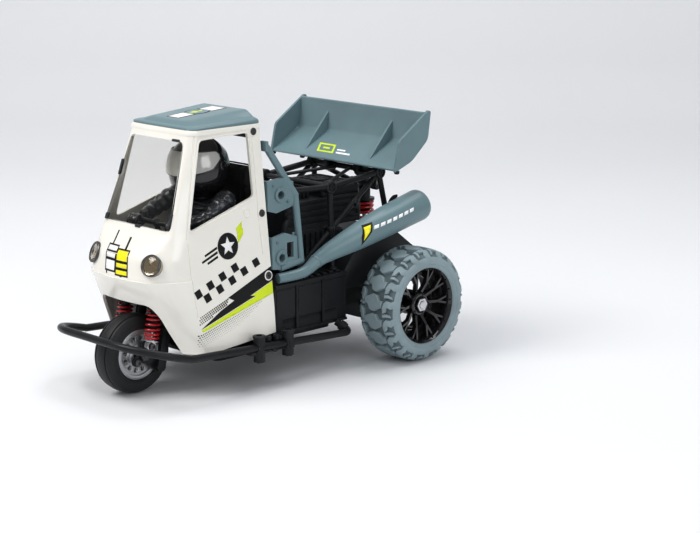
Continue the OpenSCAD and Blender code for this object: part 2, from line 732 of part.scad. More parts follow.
module side_racks() color(blue_grey) on_car() both_sides() difference() {
    union() {
        tube_path([[94.6, 31, 141.5], [74, 34, 110.5], [72.5, 37.6, 70], [90, 37.6, 67.8]], 2.2);
        // Upper and lower plates, and their flanges against the cab
        y_plate(32.2, 34.8) polygon([[76, 104], [76, 119], [84, 122], [96.8, 121], [96.8, 103], [90, 101]]);
        y_plate(36.2, 38.8) polygon([[76, 70], [77, 86], [86, 89], [96.8, 87], [96.8, 68], [90, 67]]);
        translate([94.8, 29.5, 103]) cube([2, 4.5, 18]);
        translate([94.8, 30, 68]) cube([2, 8, 19]);
        translate([94.8, 28.4, 139]) cube([2, 5, 6]);
        translate([87, 0, 112]) y_rod(4.4, 31, 36);
        translate([90, 0, 74.5]) y_rod(4.4, 35, 40);
    }
    translate([87, 0, 112]) y_rod(2.5, 20, 50);
    translate([90, 0, 74.5]) y_rod(2.5, 20, 50);
    y_plate(30, 45) polygon([[79.5, 73.5], [79.5, 83], [85, 83], [85, 73.5]]);
}

cage_front = [41, 30, 110.5];
cage_rear = [-2.5, 30, 115];
cross_r = 1.85;

cage_bars = [
    [[95.6, 27, 112.5], cage_front, 1.9],
    [cage_front, cage_rear, 2],
    [cage_front, [41, 33, 58.2], 1.8],
    [cage_rear, [72, 31, 60], 1.65],
    [cage_rear, [-9, 33, 79.4], 1.8],
    [cage_rear, [shock_x, 10, shock_top_z], 1.6]];

module roll_cage() color(black) on_car() {
    both_sides() {
        for (b = cage_bars) bar(b[0], b[1], b[2], sides = 12);
        // Round clamps at the corners and drums on the shock's upper pin
        for (p = [cage_front, cage_rear]) translate(p) y_rod(4.2, -2.4, 2.4);
        translate([shock_x, 0, shock_top_z]) y_rod(2.8, 7.6, 12.4);
    }
    translate([shock_x, 0, shock_top_z]) y_rod(pin_r, -8, 8);
    for (p = [cage_front, cage_rear]) translate([p[0], 0, p[2]]) y_rod(cross_r, -29, 29);
}

module engine_block() color(black) on_car() {
    translate([54, 0, 58.1]) pad([34, 46, 26], 3);
    difference() {
        translate([37, 0, 84]) pad([66, 44, 18], 3);
        for (z = [87 : 4 : 99]) both_sides() translate([2, 20.6, z]) cube([70, 3, 1.6]);
    }
}

module engine_cover() color(black) on_car() difference() {
    union() {
        translate([20.5, 0, 102.1]) pad([34, 40, 5], 3);
        translate([20.5, 0, 106]) pad([28, 34, 3.4], 4);
    }
    for (i = [-2 : 2]) translate([20.5 + 5 * i - 1.2, -13, 107.4]) cube([2.4, 26, 5]);
}

// Side outline of the guard over the gearbox, grown inwards by t.
guard_line = [[35.4, 58], [20, 76.5], [-8, 79], [-31, 62], [-34.5, 50]];
module rear_guard() color(soft_black) on_car() difference() {
    y_plate(-37.8, 37.8) polygon(concat(guard_line, [[-34.5, 46], [35.4, 46]]));
    y_plate(-36, 36) polygon([[33.6, 56.8], [19, 74.7], [-7.4, 77.1], [-29.4, 60.8],
        [-32.7, 49.6], [-32.7, 40], [33.6, 40]]);
    // Window for the shock and the swing frame's arms
    translate([shock_x - 10, -26.2, 50]) cube([20, 52.4, 40]);
    // Notch for the gearbox
    translate([30, 9.6, 44]) cube([10, 13.6, 9.6]);
}

// ---------- wing and exhaust ----------

module wing() color(blue_grey) on_car() {
    // Main plate, folded up at the rear
    y_plate(-wing_y, wing_y) polygon([[9.2, 119.9], [9.9, 121.4], [-13.2, 134.6],
        [-15.8, 153.6], [-17.6, 153.4], [-15.2, 133.4]]);
    both_sides() {
        y_plate(wing_y - 1.8, wing_y) polygon([[11.2, 119.2], [6.9, 138.5], [-19, 155.6],
            [-21, 154.5], [-18.6, 137], [-4.2, 124.8]]);
        y_plate(28.4, 30.2) polygon([[8.6, 121], [-16.4, 147.6], [-14.4, 133.6]]);
    }
}

module wing_mount() color(black) on_car() difference() {
    union() {
        both_sides() y_plate(12, 15) {
            translate([cage_rear[0], cage_rear[2]]) circle(r = 4.6);
            polygon([[2.5, 114], [2.5, 123.1], [-8.5, 129.3], [-8.5, 120], [-6.5, 114]]);
        }
        translate([-6, -13, 119.4]) cube([6, 26, 2]);
    }
    translate([cage_rear[0], 0, cage_rear[2]]) y_rod(cross_r + 0.03, -30, 30);
}

// Centre line and radius of the exhaust, from the cab to its rounded tail
exhaust_line = [[93, 39, 62, 3.1], [75, 42, 63.6, 3.4], [64, 42.8, 69.4, 4.4],
    [55, 45.5, 74.2, 5.8], [38, 50, 81, 8], [19, 53.2, 87.6, 9.4], [-12.5, 54, 95.2, 10.1]];
exhaust_tail = [[-15, 54, 95.8, 9.7], [-16.4, 54, 96.2, 8.6], [-16.9, 54, 96.3, 6]];

module exhaust() color(blue_grey) on_car()
    sweep(concat([for (i = [0 : len(exhaust_line) - 2], t = [0 : 0.25 : 0.75])
        spline(exhaust_line, i, t)], [exhaust_line[6]], exhaust_tail), 24);

module exhaust_bracket() color(black) on_car() difference() {
    translate([-2, 0, 0]) rotate([90, 0, 90]) linear_extrude(4) {
        translate([53.8, 92.7]) circle(r = 12);
        polygon([[33, 79.1], [37, 79.1], [48, 84], [43, 90], [33, 81.4]]);
    }
    bar([19, 53.2, 87.6], [-12.5, 54, 95.2], 10.4);
    translate([-5, 47.5, 70]) cube([10, 30, 50]);
}

// ---------- what is drawn ----------

chassis_plate();
tub();
battery();
receiver();
switch_body();
steering_servo();
steering_head();
stem_bushes();
bumper_rail();
bumper_brackets();
cab_shell();
roof_cap();
windshield();
headlight_bowls();
headlight_lenses();
cab_back();
cab_floor();
seat();
driver_body();
driver_helmet();
driver_visor();
driver_gloves();
handlebar();
side_racks();
roll_cage();
engine_block();
engine_cover();
wing();
wing_mount();
exhaust();
exhaust_bracket();
cab_screws();
rear_guard();
pivot_pin();
switch_slider();
servo_horn();
drag_link();
fork();
steering_arm();
front_arms();
front_axle();
front_rim();
front_tyre();
front_bearings();
front_shock_bodies();
front_shock_rods();
front_springs();
swing_frame();
gearbox_cover();
motor();
rear_bearings();
pinion();
rear_axle();
spur_gear();
rear_rims();
rear_tyres();
wheel_nuts();
rear_shock_body();
rear_shock_rod();
rear_spring();
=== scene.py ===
"""Looks of the three-wheeled cab racer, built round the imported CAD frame.
Lengths in this file are millimetres in the car's own frame: X forward from the rear axle,
Y to the car's left, Z up from the ground. P() turns them into the frame's metres."""
import math

import bmesh
import bpy
from mathutils import Matrix, Vector, noise
from mathutils.bvhtree import BVHTree


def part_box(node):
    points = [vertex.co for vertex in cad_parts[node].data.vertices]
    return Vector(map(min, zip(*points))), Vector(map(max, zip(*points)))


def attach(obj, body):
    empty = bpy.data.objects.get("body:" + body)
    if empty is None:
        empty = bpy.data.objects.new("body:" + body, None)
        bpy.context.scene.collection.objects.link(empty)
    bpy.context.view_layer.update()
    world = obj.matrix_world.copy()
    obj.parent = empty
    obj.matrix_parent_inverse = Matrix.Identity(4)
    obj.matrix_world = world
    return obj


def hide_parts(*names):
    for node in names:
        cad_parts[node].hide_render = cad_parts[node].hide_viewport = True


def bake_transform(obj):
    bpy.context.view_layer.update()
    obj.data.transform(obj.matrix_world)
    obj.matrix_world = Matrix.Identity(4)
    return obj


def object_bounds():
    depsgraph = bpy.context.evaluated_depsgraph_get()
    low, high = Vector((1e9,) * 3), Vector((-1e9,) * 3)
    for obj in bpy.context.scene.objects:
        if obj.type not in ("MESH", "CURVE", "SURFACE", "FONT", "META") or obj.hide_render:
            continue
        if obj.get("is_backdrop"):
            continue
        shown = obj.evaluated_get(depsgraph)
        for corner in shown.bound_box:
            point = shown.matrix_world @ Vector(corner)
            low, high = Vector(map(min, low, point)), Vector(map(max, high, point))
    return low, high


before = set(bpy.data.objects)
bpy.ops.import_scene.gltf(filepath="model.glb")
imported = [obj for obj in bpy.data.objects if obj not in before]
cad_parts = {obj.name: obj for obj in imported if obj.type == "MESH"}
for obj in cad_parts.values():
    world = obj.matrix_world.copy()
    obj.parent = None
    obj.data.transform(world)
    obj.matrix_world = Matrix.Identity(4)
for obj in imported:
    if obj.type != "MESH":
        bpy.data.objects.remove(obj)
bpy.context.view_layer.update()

tyre_low, tyre_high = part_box("rear_tyres")
AXLE_X = (tyre_low.x + tyre_high.x) / 2
RAKE = math.radians(12)         # of the steering axis
HEAD_X, HEAD_Z = 172.8, 23.8    # foot of the steering axis
BOTH = (1, -1)                  # left, right


def P(p):
    return Vector((AXLE_X + p[0] / 1000, p[1] / 1000, p[2] / 1000))


def S(u, y, w):
    """A point of the steering frame: u forward, w up the steering axis."""
    c, s = math.cos(RAKE), math.sin(RAKE)
    return Vector((HEAD_X + u * c - w * s, y, HEAD_Z + u * s + w * c))


STEER_UP = S(0, 0, 1) - S(0, 0, 0)


# ---------- materials ----------

def shade(name, colour, rough, metal=0.0, blotch=(45, 0.08), grain=(2200, 0.12), coat=0.0,
          sheen=0.0, clear=0.0, wear=None, stretch=None, weave=None, ior=1.5):
    """A procedural finish: colour blotches, fine grain in the bump and roughness, edge wear."""
    m = bpy.data.materials.new(name)
    m.use_nodes = True
    nodes, links = m.node_tree.nodes, m.node_tree.links
    bsdf = nodes["Principled BSDF"]
    coord = nodes.new("ShaderNodeTexCoord").outputs["Object"]
    if stretch:
        mapping = nodes.new("ShaderNodeMapping")
        mapping.inputs["Scale"].default_value = stretch
        links.new(coord, mapping.inputs["Vector"])
        coord = mapping.outputs["Vector"]

    def field(scale, detail):
        n = nodes.new("ShaderNodeTexNoise")
        n.inputs["Scale"].default_value = scale
        n.inputs["Detail"].default_value = detail
        links.new(coord, n.inputs["Vector"])
        return n.outputs["Fac"]

    def remap(source, a, b, lo=0.3, hi=0.7):
        r = nodes.new("ShaderNodeMapRange")
        for key, value in (("From Min", lo), ("From Max", hi), ("To Min", a), ("To Max", b)):
            r.inputs[key].default_value = value
        links.new(source, r.inputs["Value"])
        return r.outputs["Result"]

    def mix(factor, a, b):
        x = nodes.new("ShaderNodeMix")
        x.data_type = "RGBA"
        for socket, value in ((x.inputs["Factor"], factor), (x.inputs["A"], a), (x.inputs["B"], b)):
            if hasattr(value, "is_linked"):
                links.new(value, socket)
            else:
                socket.default_value = (*value, 1)
        return x.outputs["Result"]

    big, fine = field(blotch[0], 4), field(grain[0], 2)
    low = [c * (1 - blotch[1]) for c in colour]
    high = [min(c * (1 + blotch[1]), 1) for c in colour]
    base = mix(remap(big, 0, 1), low, high)
    roughness = remap(big, max(rough - 0.06, 0.02), rough + 0.07)
    if wear:
        bevel = nodes.new("ShaderNodeBevel")
        bevel.samples = 3
        bevel.inputs["Radius"].default_value = 0.0005
        normal = nodes.new("ShaderNodeNewGeometry").outputs["Normal"]
        dot = nodes.new("ShaderNodeVectorMath")
        dot.operation = "DOT_PRODUCT"
        links.new(bevel.outputs["Normal"], dot.inputs[0])
        links.new(normal, dot.inputs[1])
        edge = remap(dot.outputs["Value"], wear[1], 0.0, 0.8, 0.985)
        broken = nodes.new("ShaderNodeMath")
        broken.operation = "MULTIPLY"
        links.new(edge, broken.inputs[0])
        links.new(remap(field(500, 3), 0, 1, 0.42, 0.62), broken.inputs[1])
        base = mix(broken.outputs[0], base, wear[0])
    links.new(base, bsdf.inputs["Base Color"])
    links.new(roughness, bsdf.inputs["Roughness"])
    height = fine
    if weave:
        wave = nodes.new("ShaderNodeTexVoronoi")
        wave.inputs["Scale"].default_value = weave
        links.new(coord, wave.inputs["Vector"])
        total = nodes.new("ShaderNodeMath")
        total.operation = "ADD"
        links.new(wave.outputs["Distance"], total.inputs[0])
        links.new(fine, total.inputs[1])
        height = total.outputs[0]
    bump = nodes.new("ShaderNodeBump")
    bump.inputs["Strength"].default_value = grain[1]
    bump.inputs["Distance"].default_value = 0.0002
    links.new(height, bump.inputs["Height"])
    links.new(bump.outputs["Normal"], bsdf.inputs["Normal"])
    bsdf.inputs["Metallic"].default_value = metal
    bsdf.inputs["Coat Weight"].default_value = coat
    bsdf.inputs["Coat Roughness"].default_value = 0.08
    bsdf.inputs["Sheen Weight"].default_value = sheen
    bsdf.inputs["Transmission Weight"].default_value = clear
    bsdf.inputs["IOR"].default_value = ior
    if max(colour) < 0.1 and not metal:
        bsdf.inputs["Specular IOR Level"].default_value = 0.32
    return m


GREY_WEAR = (0.16, 0.17, 0.18)
M = {
    "white": shade("gloss_white", (0.87, 0.85, 0.79), 0.22, coat=0.5, blotch=(20, 0.015),
                   grain=(1500, 0.03), wear=((0.93, 0.92, 0.88), 0.4)),
    # Inside of the shell: a darker olive that paints the shade and the light shining through the white
    # walls
    "inner": shade("inner_painted_shade", (0.60, 0.50, 0.31), 0.45, blotch=(30, 0.12), grain=(1800, 0.15)),
    "blue_grey": shade("blue_grey", (0.16, 0.245, 0.27), 0.36, blotch=(35, 0.06),
                       grain=(2400, 0.1), coat=0.15, wear=((0.32, 0.42, 0.44), 0.6)),
    "tyre_grey": shade("tyre_grey", (0.27, 0.345, 0.37), 0.55, blotch=(70, 0.1),
                       grain=(1600, 0.25)),
    # Tread floor between the blocks: a darker grey that paints the shade in the grooves
    "tyre_groove": shade("tyre_groove", (0.13, 0.17, 0.185), 0.7, blotch=(70, 0.2),
                         grain=(1400, 0.3)),
    "tyre_black": shade("tyre_black", (0.022, 0.023, 0.025), 0.5, blotch=(60, 0.25),
                        grain=(1500, 0.25), sheen=0.05),
    "black": shade("black_nylon", (0.014, 0.015, 0.017), 0.34, blotch=(50, 0.25),
                   grain=(2600, 0.16), wear=(GREY_WEAR, 0.5)),
    "soft_black": shade("soft_black", (0.016, 0.018, 0.021), 0.46, blotch=(40, 0.25),
                        grain=(1900, 0.3), wear=(GREY_WEAR, 0.4)),
    "back_grey": shade("dark_grey_panel", (0.04, 0.045, 0.05), 0.4, blotch=(40, 0.15),
                       grain=(2000, 0.2), wear=(GREY_WEAR, 0.4)),
    "gloss_black": shade("gloss_black", (0.01, 0.01, 0.012), 0.13, coat=0.9, blotch=(25, 0.2),
                         grain=(900, 0.03)),
    # Visor: the light grey base colour is a painted reflection; the coat adds real gloss
    "visor": shade("visor_painted_reflection", (0.5, 0.5, 0.48), 0.16, metal=0.15, coat=0.8,
                   blotch=(30, 0.05), grain=(900, 0.02)),
    # Jacket leather: a black lifted lighter and bluer than the seat, partly its own colour and partly
    # painted highlight for the dark cab inside
    "leather": shade("jacket_leather_painted_highlight", (0.024, 0.028, 0.034), 0.22, blotch=(90, 0.3),
                     grain=(1600, 0.12), sheen=0.1, weave=900, coat=0.7),
    "seat": shade("seat_leather", (0.014, 0.015, 0.016), 0.5, blotch=(80, 0.25),
                  grain=(1500, 0.4), weave=1100, sheen=0.1),
    "steel": shade("bright_steel", (0.62, 0.62, 0.64), 0.22, metal=1, blotch=(120, 0.08),
                   grain=(900, 0.1), stretch=(1, 6, 1)),
    "dark_steel": shade("dark_steel", (0.10, 0.10, 0.105), 0.32, metal=0.9, blotch=(200, 0.2),
                        grain=(1500, 0.1), wear=((0.4, 0.4, 0.4), 0.6)),
    "silver": shade("satin_silver", (0.46, 0.47, 0.48), 0.34, metal=0.75, blotch=(80, 0.06),
                    grain=(1800, 0.12), wear=((0.7, 0.7, 0.7), 0.4)),
    "red": shade("spring_red", (0.52, 0.012, 0.02), 0.25, blotch=(150, 0.12),
                 grain=(1500, 0.08), coat=0.6),
    "brass": shade("brass", (0.62, 0.43, 0.16), 0.25, metal=1, blotch=(120, 0.1),
                   grain=(900, 0.08)),
    "nylon": shade("nylon", (0.72, 0.71, 0.66), 0.45, blotch=(60, 0.05), grain=(1800, 0.15)),
    "battery": shade("battery_wrap", (0.03, 0.07, 0.25), 0.25, coat=0.3, blotch=(40, 0.12),
                     grain=(600, 0.2)),
    "board": shade("receiver_case", (0.02, 0.09, 0.05), 0.4, blotch=(60, 0.15),
                   grain=(1500, 0.15)),
    "lamp": shade("lamp_beige", (0.52, 0.45, 0.34), 0.22, metal=0.35, blotch=(120, 0.1),
                  grain=(1500, 0.1), coat=0.4),
    "lens": shade("lamp_lens", (0.93, 0.88, 0.78), 0.05, clear=1, blotch=(60, 0.02),
                  grain=(700, 0.08)),
    "glass": shade("windscreen", (0.9, 0.89, 0.86), 0.03, clear=1, blotch=(15, 0.03),
                   grain=(300, 0.02), ior=1.2),
    "print_black": shade("print_black", (0.007, 0.007, 0.008), 0.38, blotch=(60, 0.2),
                         grain=(1500, 0.05)),
    "print_lime": shade("print_lime", (0.66, 0.80, 0.01), 0.3, blotch=(60, 0.04),
                        grain=(1500, 0.05), coat=0.3),
    "print_yellow": shade("print_yellow", (0.9, 0.82, 0.01), 0.3, blotch=(60, 0.04),
                          grain=(1500, 0.05), coat=0.3),
    "print_white": shade("print_white", (0.9, 0.9, 0.9), 0.3, blotch=(60, 0.02),
                         grain=(1500, 0.05), coat=0.3),
}


# ---------- shapes ----------

class Shape:
    """Collects vertices (mm) and faces, then becomes one piece."""

    def __init__(self):
        self.v, self.f, self.m = [], [], []

    def add(self, verts, faces, slot=0):
        n = len(self.v)
        self.v += [Vector(p) for p in verts]
        self.f += [[i + n for i in f] for f in faces]
        self.m += [slot] * len(faces)
        return self

    def loft(self, rings, closed=False, caps=True, slot=0):
        k, n = len(rings[0]), len(rings)
        faces = []
        for i in range(n if closed else n - 1):
            a, b = i * k, (i + 1) % n * k
            faces += [[a + j, a + (j + 1) % k, b + (j + 1) % k, b + j] for j in range(k)]
        if caps and not closed:
            faces += [list(range(k))[::-1], [(n - 1) * k + j for j in range(k)]]
        return self.add([p for r in rings for p in r], faces, slot)

    def turned(self, centre, axis, profile, steps=48, closed=False, slot=0):
        """A profile of (radius, distance along the axis), turned about the axis."""
        a, b, t = basis(axis)
        c = Vector(centre)
        rings = []
        for r, h in profile:
            rings.append([c + t * h + r * (a * math.cos(x) + b * math.sin(x))
                          for x in round_about(steps)])
        return self.loft(rings, closed, True, slot)

    def tube(self, path, radius, sides=16, closed=False, slot=0):
        path = [Vector(p) for p in path]
        n = len(path)
        radii = radius if isinstance(radius, list) else [radius] * n
        rings, last = [], None
        for i, p in enumerate(path):
            nxt = path[(i + 1) % n] if closed or i < n - 1 else p
            prv = path[i - 1] if closed or i > 0 else p
            t = (nxt - prv).normalized()
            if last is None:
                side = basis(t)[0]
            else:
                side = (last - t * last.dot(t)).normalized()
            last = side
            up = t.cross(side)
            rings.append([p + radii[i] * (side * math.cos(x) + up * math.sin(x))
                          for x in round_about(sides)])
        return self.loft(rings, closed, True, slot)

    def prism(self, outline, place, low, high, slot=0):
        """A flat outline extruded from low to high; place(a, b, depth) gives the point."""
        return self.loft([[place(p[0], p[1], d) for p in outline] for d in (low, high)],
                         slot=slot)

    def bolt(self, centre, axis, r=1.3, h=1.0, slot=0):
        """A cap screw with a round recess."""
        prof = [(r * 0.9, -0.4), (r, 0), (r, h * 0.7), (r * 0.82, h), (r * 0.5, h)]
        self.turned(centre, axis, prof + [(r * 0.5, h * 0.35)], 24, slot=slot)
        return self


def round_about(n):
    """n equal angles of a full turn."""
    return [2 * math.pi * i / n for i in range(n)]


def rect(x0, x1, y0, y1):
    return [(x0, y0), (x1, y0), (x1, y1), (x0, y1)]


def basis(axis):
    t = Vector(axis).normalized()
    ref = Vector((0, 0, 1)) if abs(t.z) < 0.9 else Vector((1, 0, 0))
    a = t.cross(ref).normalized()
    return a, t.cross(a), t


def rounded(poly, radius, n=5):
    """The outline with each corner drawn as a short curve."""
    out = []
    for i, q in enumerate(poly):
        q = Vector(q)
        a, b = Vector(poly[i - 1]) - q, Vector(poly[(i + 1) % len(poly)]) - q
        r = radius[i] if isinstance(radius, (list, tuple)) else radius
        d = min(r, a.length * 0.45, b.length * 0.45)
        s, e = q + a.normalized() * d, q + b.normalized() * d
        out += [(1 - t) ** 2 * s + 2 * t * (1 - t) * q + t * t * e
                for t in [k / n for k in range(n + 1)]]
    return out


def smooth_path(pts, n=6):
    """A smooth curve through points of any number of components."""
    pts = [Vector(p) for p in pts]
    out = []
    for i in range(len(pts) - 1):
        a, b, c = pts[max(i - 1, 0)], pts[i], pts[i + 1]
        d = pts[min(i + 2, len(pts) - 1)]
        for t in [k / n for k in range(n)]:
            out.append(0.5 * (2 * b + (c - a) * t + (2 * a - 5 * b + 4 * c - d) * t * t
                              + (3 * b - a - 3 * c + d) * t ** 3))
    return out + [pts[-1]]


def on_side(a, b, d):
    return Vector((a, d, b))


def on_front(a, b, d):
    return Vector((d, a, b))


def on_top(a, b, d):
    return Vector((a, b, d))


def raw_mesh(name, shape):
    me = bpy.data.meshes.new(name)
    me.from_pydata([P(p) for p in shape.v], [], shape.f)
    me.polygons.foreach_set("material_index", shape.m)
    bm = bmesh.new()
    bm.from_mesh(me)
    bmesh.ops.remove_doubles(bm, verts=bm.verts, dist=1e-6)
    bmesh.ops.recalc_face_normals(bm, faces=bm.faces)
    bm.to_mesh(me)
    bm.free()
    return me


def soften(me, angle):
    me.polygons.foreach_set("use_smooth", [True] * len(me.polygons))
    me.set_sharp_from_angle(angle=math.radians(angle))
    me.update()


def piece(name, source, mats, body="chassis", stands_for=(), bevel=0.0, angle=35):
    """A shape or a finished mesh becomes a piece that rides on a CAD body."""
    me = raw_mesh(name, source) if isinstance(source, Shape) else source
    for key in mats.split():
        me.materials.append(M[key])
    soften(me, angle)
    o = bpy.data.objects.new(name, me)
    bpy.context.scene.collection.objects.link(o)
    if bevel:
        add_bevel(o, bevel)
    if body:
        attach(o, body)
    if stands_for:
        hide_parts(*stands_for)
    return o


def add_bevel(o, width, angle=38):
    b = o.modifiers.new("edges", "BEVEL")
    b.width, b.segments = width / 1000, 2
    b.limit_method, b.angle_limit = "ANGLE", math.radians(angle)
    b.harden_normals = False


def sliced(bm, axis, places):
    """Cuts a flat mesh across at each place on an axis."""
    co, no = [0, 0, 0], [0, 0, 0]
    no[axis] = 1
    for at in places:
        co[axis] = at
        bmesh.ops.bisect_plane(bm, geom=bm.verts[:] + bm.edges[:] + bm.faces[:], plane_co=co,
                               plane_no=no, dist=1e-5)


def baked(o):
    """The object's mesh with its modifiers applied, as a new mesh; the object goes."""
    bpy.context.view_layer.update()
    dg = bpy.context.evaluated_depsgraph_get()
    me = bpy.data.meshes.new_from_object(o.evaluated_get(dg))
    bpy.data.objects.remove(o)
    me.materials.clear()
    return me


def temp(shape, name="temp"):
    o = bpy.data.objects.new(name, raw_mesh(name, shape))
    bpy.context.scene.collection.objects.link(o)
    return o


def cut(target, cutter):
    c = temp(cutter, "cutter")
    b = target.modifiers.new("cut", "BOOLEAN")
    b.operation, b.solver, b.object = "DIFFERENCE", "EXACT", c
    if hasattr(b, "use_self"):
        b.use_self = False
    me = baked(target)
    bpy.data.objects.remove(c)
    o = bpy.data.objects.new("cut", me)
    bpy.context.scene.collection.objects.link(o)
    return o


def fused(shape, voxel, smooth=6):
    """One skin round overlapping shapes, smoothed."""
    o = temp(shape)
    r = o.modifiers.new("skin", "REMESH")
    r.mode, r.voxel_size = "VOXEL", voxel / 1000
    if smooth:
        s = o.modifiers.new("smooth", "SMOOTH")
        s.iterations, s.factor = smooth, 0.5
    return baked(o)


SIM_SCALE = 30


def puffed(me, pressure, cap, frames=14):
    """Inflates a closed mesh as cloth, at a larger scale, and limits how far a point moves."""
    me.transform(Matrix.Scale(SIM_SCALE, 4))
    o = bpy.data.objects.new("sim", me)
    bpy.context.scene.collection.objects.link(o)
    rest = [v.co.copy() for v in me.vertices]
    c = o.modifiers.new("cloth", "CLOTH")
    s = c.settings
    s.quality, s.mass = 5, 0.3
    s.tension_stiffness = s.compression_stiffness = 18
    s.shear_stiffness, s.bending_stiffness = 8, 0.4
    s.use_pressure, s.uniform_pressure_force = True, pressure
    s.effector_weights.gravity = 0
    c.point_cache.frame_start, c.point_cache.frame_end = 1, frames
    for f in range(1, frames + 1):
        bpy.context.scene.frame_set(f)
    moved = baked(o)
    limit = cap / 1000 * SIM_SCALE
    for v, r in zip(moved.vertices, rest):
        d = v.co - r
        if d.length > limit:
            v.co = r + d * (limit / d.length)
    moved.transform(Matrix.Scale(1 / SIM_SCALE, 4))
    bpy.context.scene.frame_set(1)
    return moved


# ---------- CAD nodes that stay: finish and softened edges ----------

FINISH = {
    "black": "chassis_plate steering_servo steering_head bumper_brackets handlebar fork "
             "steering_arm front_arms front_shock_bodies rear_shock_body swing_frame "
             "switch_body exhaust_bracket wing_mount cab_floor",
    "soft_black": "tub rear_guard engine_block engine_cover gearbox_cover",
    "back_grey": "cab_back",
    "blue_grey": "side_racks",
    "steel": "front_axle front_bearings front_shock_rods rear_axle rear_bearings wheel_nuts "
             "rear_shock_rod pivot_pin switch_slider drag_link motor",
    "dark_steel": "cab_screws",
    "silver": "front_rim",
    "brass": "pinion stem_bushes",
    "nylon": "servo_horn spur_gear",
    "battery": "battery",
    "board": "receiver",
    "lamp": "headlight_bowls",
}
for key, names in FINISH.items():
    for name in names.split():
        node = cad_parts[name]
        node.data.materials.clear()
        node.data.materials.append(M[key])
        weld = node.modifiers.new("weld", "WELD")
        weld.merge_threshold = 2e-6
        add_bevel(node, 0.12 if name in ("cab_screws", "pinion", "front_rim") else 0.3)
        soften(node.data, 35)


# ---------- cab ----------

# Matched half outlines of the cab at rising heights: rear, three corners of the front
# quarter, the nose's shoulder, the nose.
CAB_ROWS = [
    (27, [(98.8, 44), (154.2, 44), (157, 40.6), (162, 34), (165, 20), (166, 0)]),
    (48, [(98.8, 42.2), (157.6, 42.2), (162.4, 37.9), (172.8, 28.5), (176, 18), (177, 0)]),
    (71.5, [(98.8, 39.3), (160, 39.3), (172, 36.5), (181.5, 28), (185, 15), (186.8, 0)]),
    (84, [(98.8, 37.9), (160, 37.6), (170, 36), (178.5, 27.5), (181.6, 15), (182.6, 0)]),
    (98, [(98.8, 36.2), (159, 35.3), (163.2, 33.9), (168.6, 31.7), (169.6, 15), (169.8, 0)]),
    (156, [(98.8, 29.5), (146.5, 29.5), (147.8, 27.7), (149.6, 25), (150.2, 10), (150.2, 0)])]
CORNER_R = [0, 4, 5, 6, 8]      # corner rounding of each outline point
SPANS = [26, 3, 4, 4, 6]        # edges between the points
CAB_LOW, CAB_TOP = 27, 156
RIDGE_Z = 71.5                  # where the nose's skirt ends
WALL = 1.7


def row_at(z, spread=0.7):
    """Half outline at a height, averaged over a short span so that creases are soft."""
    total = None
    for d, weight in ((-1, 1), (-0.5, 2), (0, 2), (0.5, 2), (1, 1)):
        q = min(max(z + d * spread, CAB_LOW), CAB_TOP)
        i = max(k for k in range(5) if CAB_ROWS[k][0] <= q)
        (z0, a), (z1, b) = CAB_ROWS[i], CAB_ROWS[i + 1]
        t = (q - z0) / (z1 - z0)
        row = [Vector(p).lerp(Vector(r), t) * weight for p, r in zip(a, b)]
        total = row if total is None else [x + y for x, y in zip(total, row)]
    return [p / 8 for p in total]


def half_outline(z, grow=0.0):
    """Dense half outline with rounded corners, rear to nose, matched from height to height."""
    row = row_at(z)
    row = row + [Vector((row[-2].x, -row[-2].y))]
    out, last = [row[0]], row[0]
    for i in range(1, 6):
        q = row[i]
        a, b = row[i - 1] - q, row[i + 1] - q
        d = min(CORNER_R[i - 1] if i < 5 else 8, a.length * 0.45, b.length * 0.45)
        d = max(d, 0.8)
        s, e = q + a.normalized() * d, q + b.normalized() * d
        out += [last.lerp(s, k / SPANS[i - 1]) for k in range(1, SPANS[i - 1])]
        steps = range(5) if i < 5 else range(3)
        out += [(1 - t) ** 2 * s + 2 * t * (1 - t) * q + t * t * e
                for t in [k / 4 for k in steps]]
        last = e
    out[-1].y = 0
    if grow:
        out = [Vector((p.x + (grow if p.x > 110 else 0) * (p.x - 98) / 60,
                       p.y + (grow if p.y > 1 else 0))) for p in out]
    return out


def outline(z, grow=0.0):
    half = half_outline(z, grow)
    return half + [Vector((p.x, -p.y)) for p in reversed(half[:-1])]


def cab_surface():
    """The open outer skin: walls and ceiling."""
    levels = [CAB_LOW + i * 3 for i in range(14)] + [67.5, 69, 70, 70.8, 71.3, 71.5, 72.1, 72.8, 74,
              76, 78.5, 81, 83, 84.5, 86, 88, 91, 94, 96.5, 98, 99.5, 101]
    levels += [104 + i * 4 for i in range(12)] + [151.5, 152.6, 153.2, 154, 155.2, 155.9]
    lip = {153.2: 0.45, 154: 0.6, 155.2: 0.6, 155.9: 0.35}
    s = Shape()
    rings = []
    for z in levels:
        # The nose's lower skirt stands a little proud, up to a ridge
        proud = 0.75 * min(max((z - 50) / 14, 0), 1) if z < RIDGE_Z - 0.1 else 0
        ring = []
        for p in outline(z, lip.get(z, 0)):
            push = (p - Vector((148, 0))).normalized() * proud * min(max((p.x - 157) / 6, 0), 1)
            ring.append((p.x + push.x, p.y + push.y, z))
        rings.append(ring)
    k = len(rings[0])
    faces = []
    for i in range(len(rings) - 1):
        a, b = i * k, (i + 1) * k
        faces += [[a + j, a + j + 1, b + j + 1, b + j] for j in range(k - 1)]
    faces.append([(len(rings) - 1) * k + j for j in range(k)])
    s.add([p for r in rings for p in r], faces)
    return s


skin = temp(cab_surface(), "skin")
CAB_BVH = BVHTree.FromObject(skin, bpy.context.evaluated_depsgraph_get())
# The walls' inside faces take the second slot: painted shade and light through the shell
walls = skin.modifiers.new("walls", "SOLIDIFY")
walls.thickness, walls.offset, walls.material_offset = WALL / 1000, -1, 1
walls.use_even_offset = False
skin.data.materials.append(M["white"])
skin.data.materials.append(M["inner"])

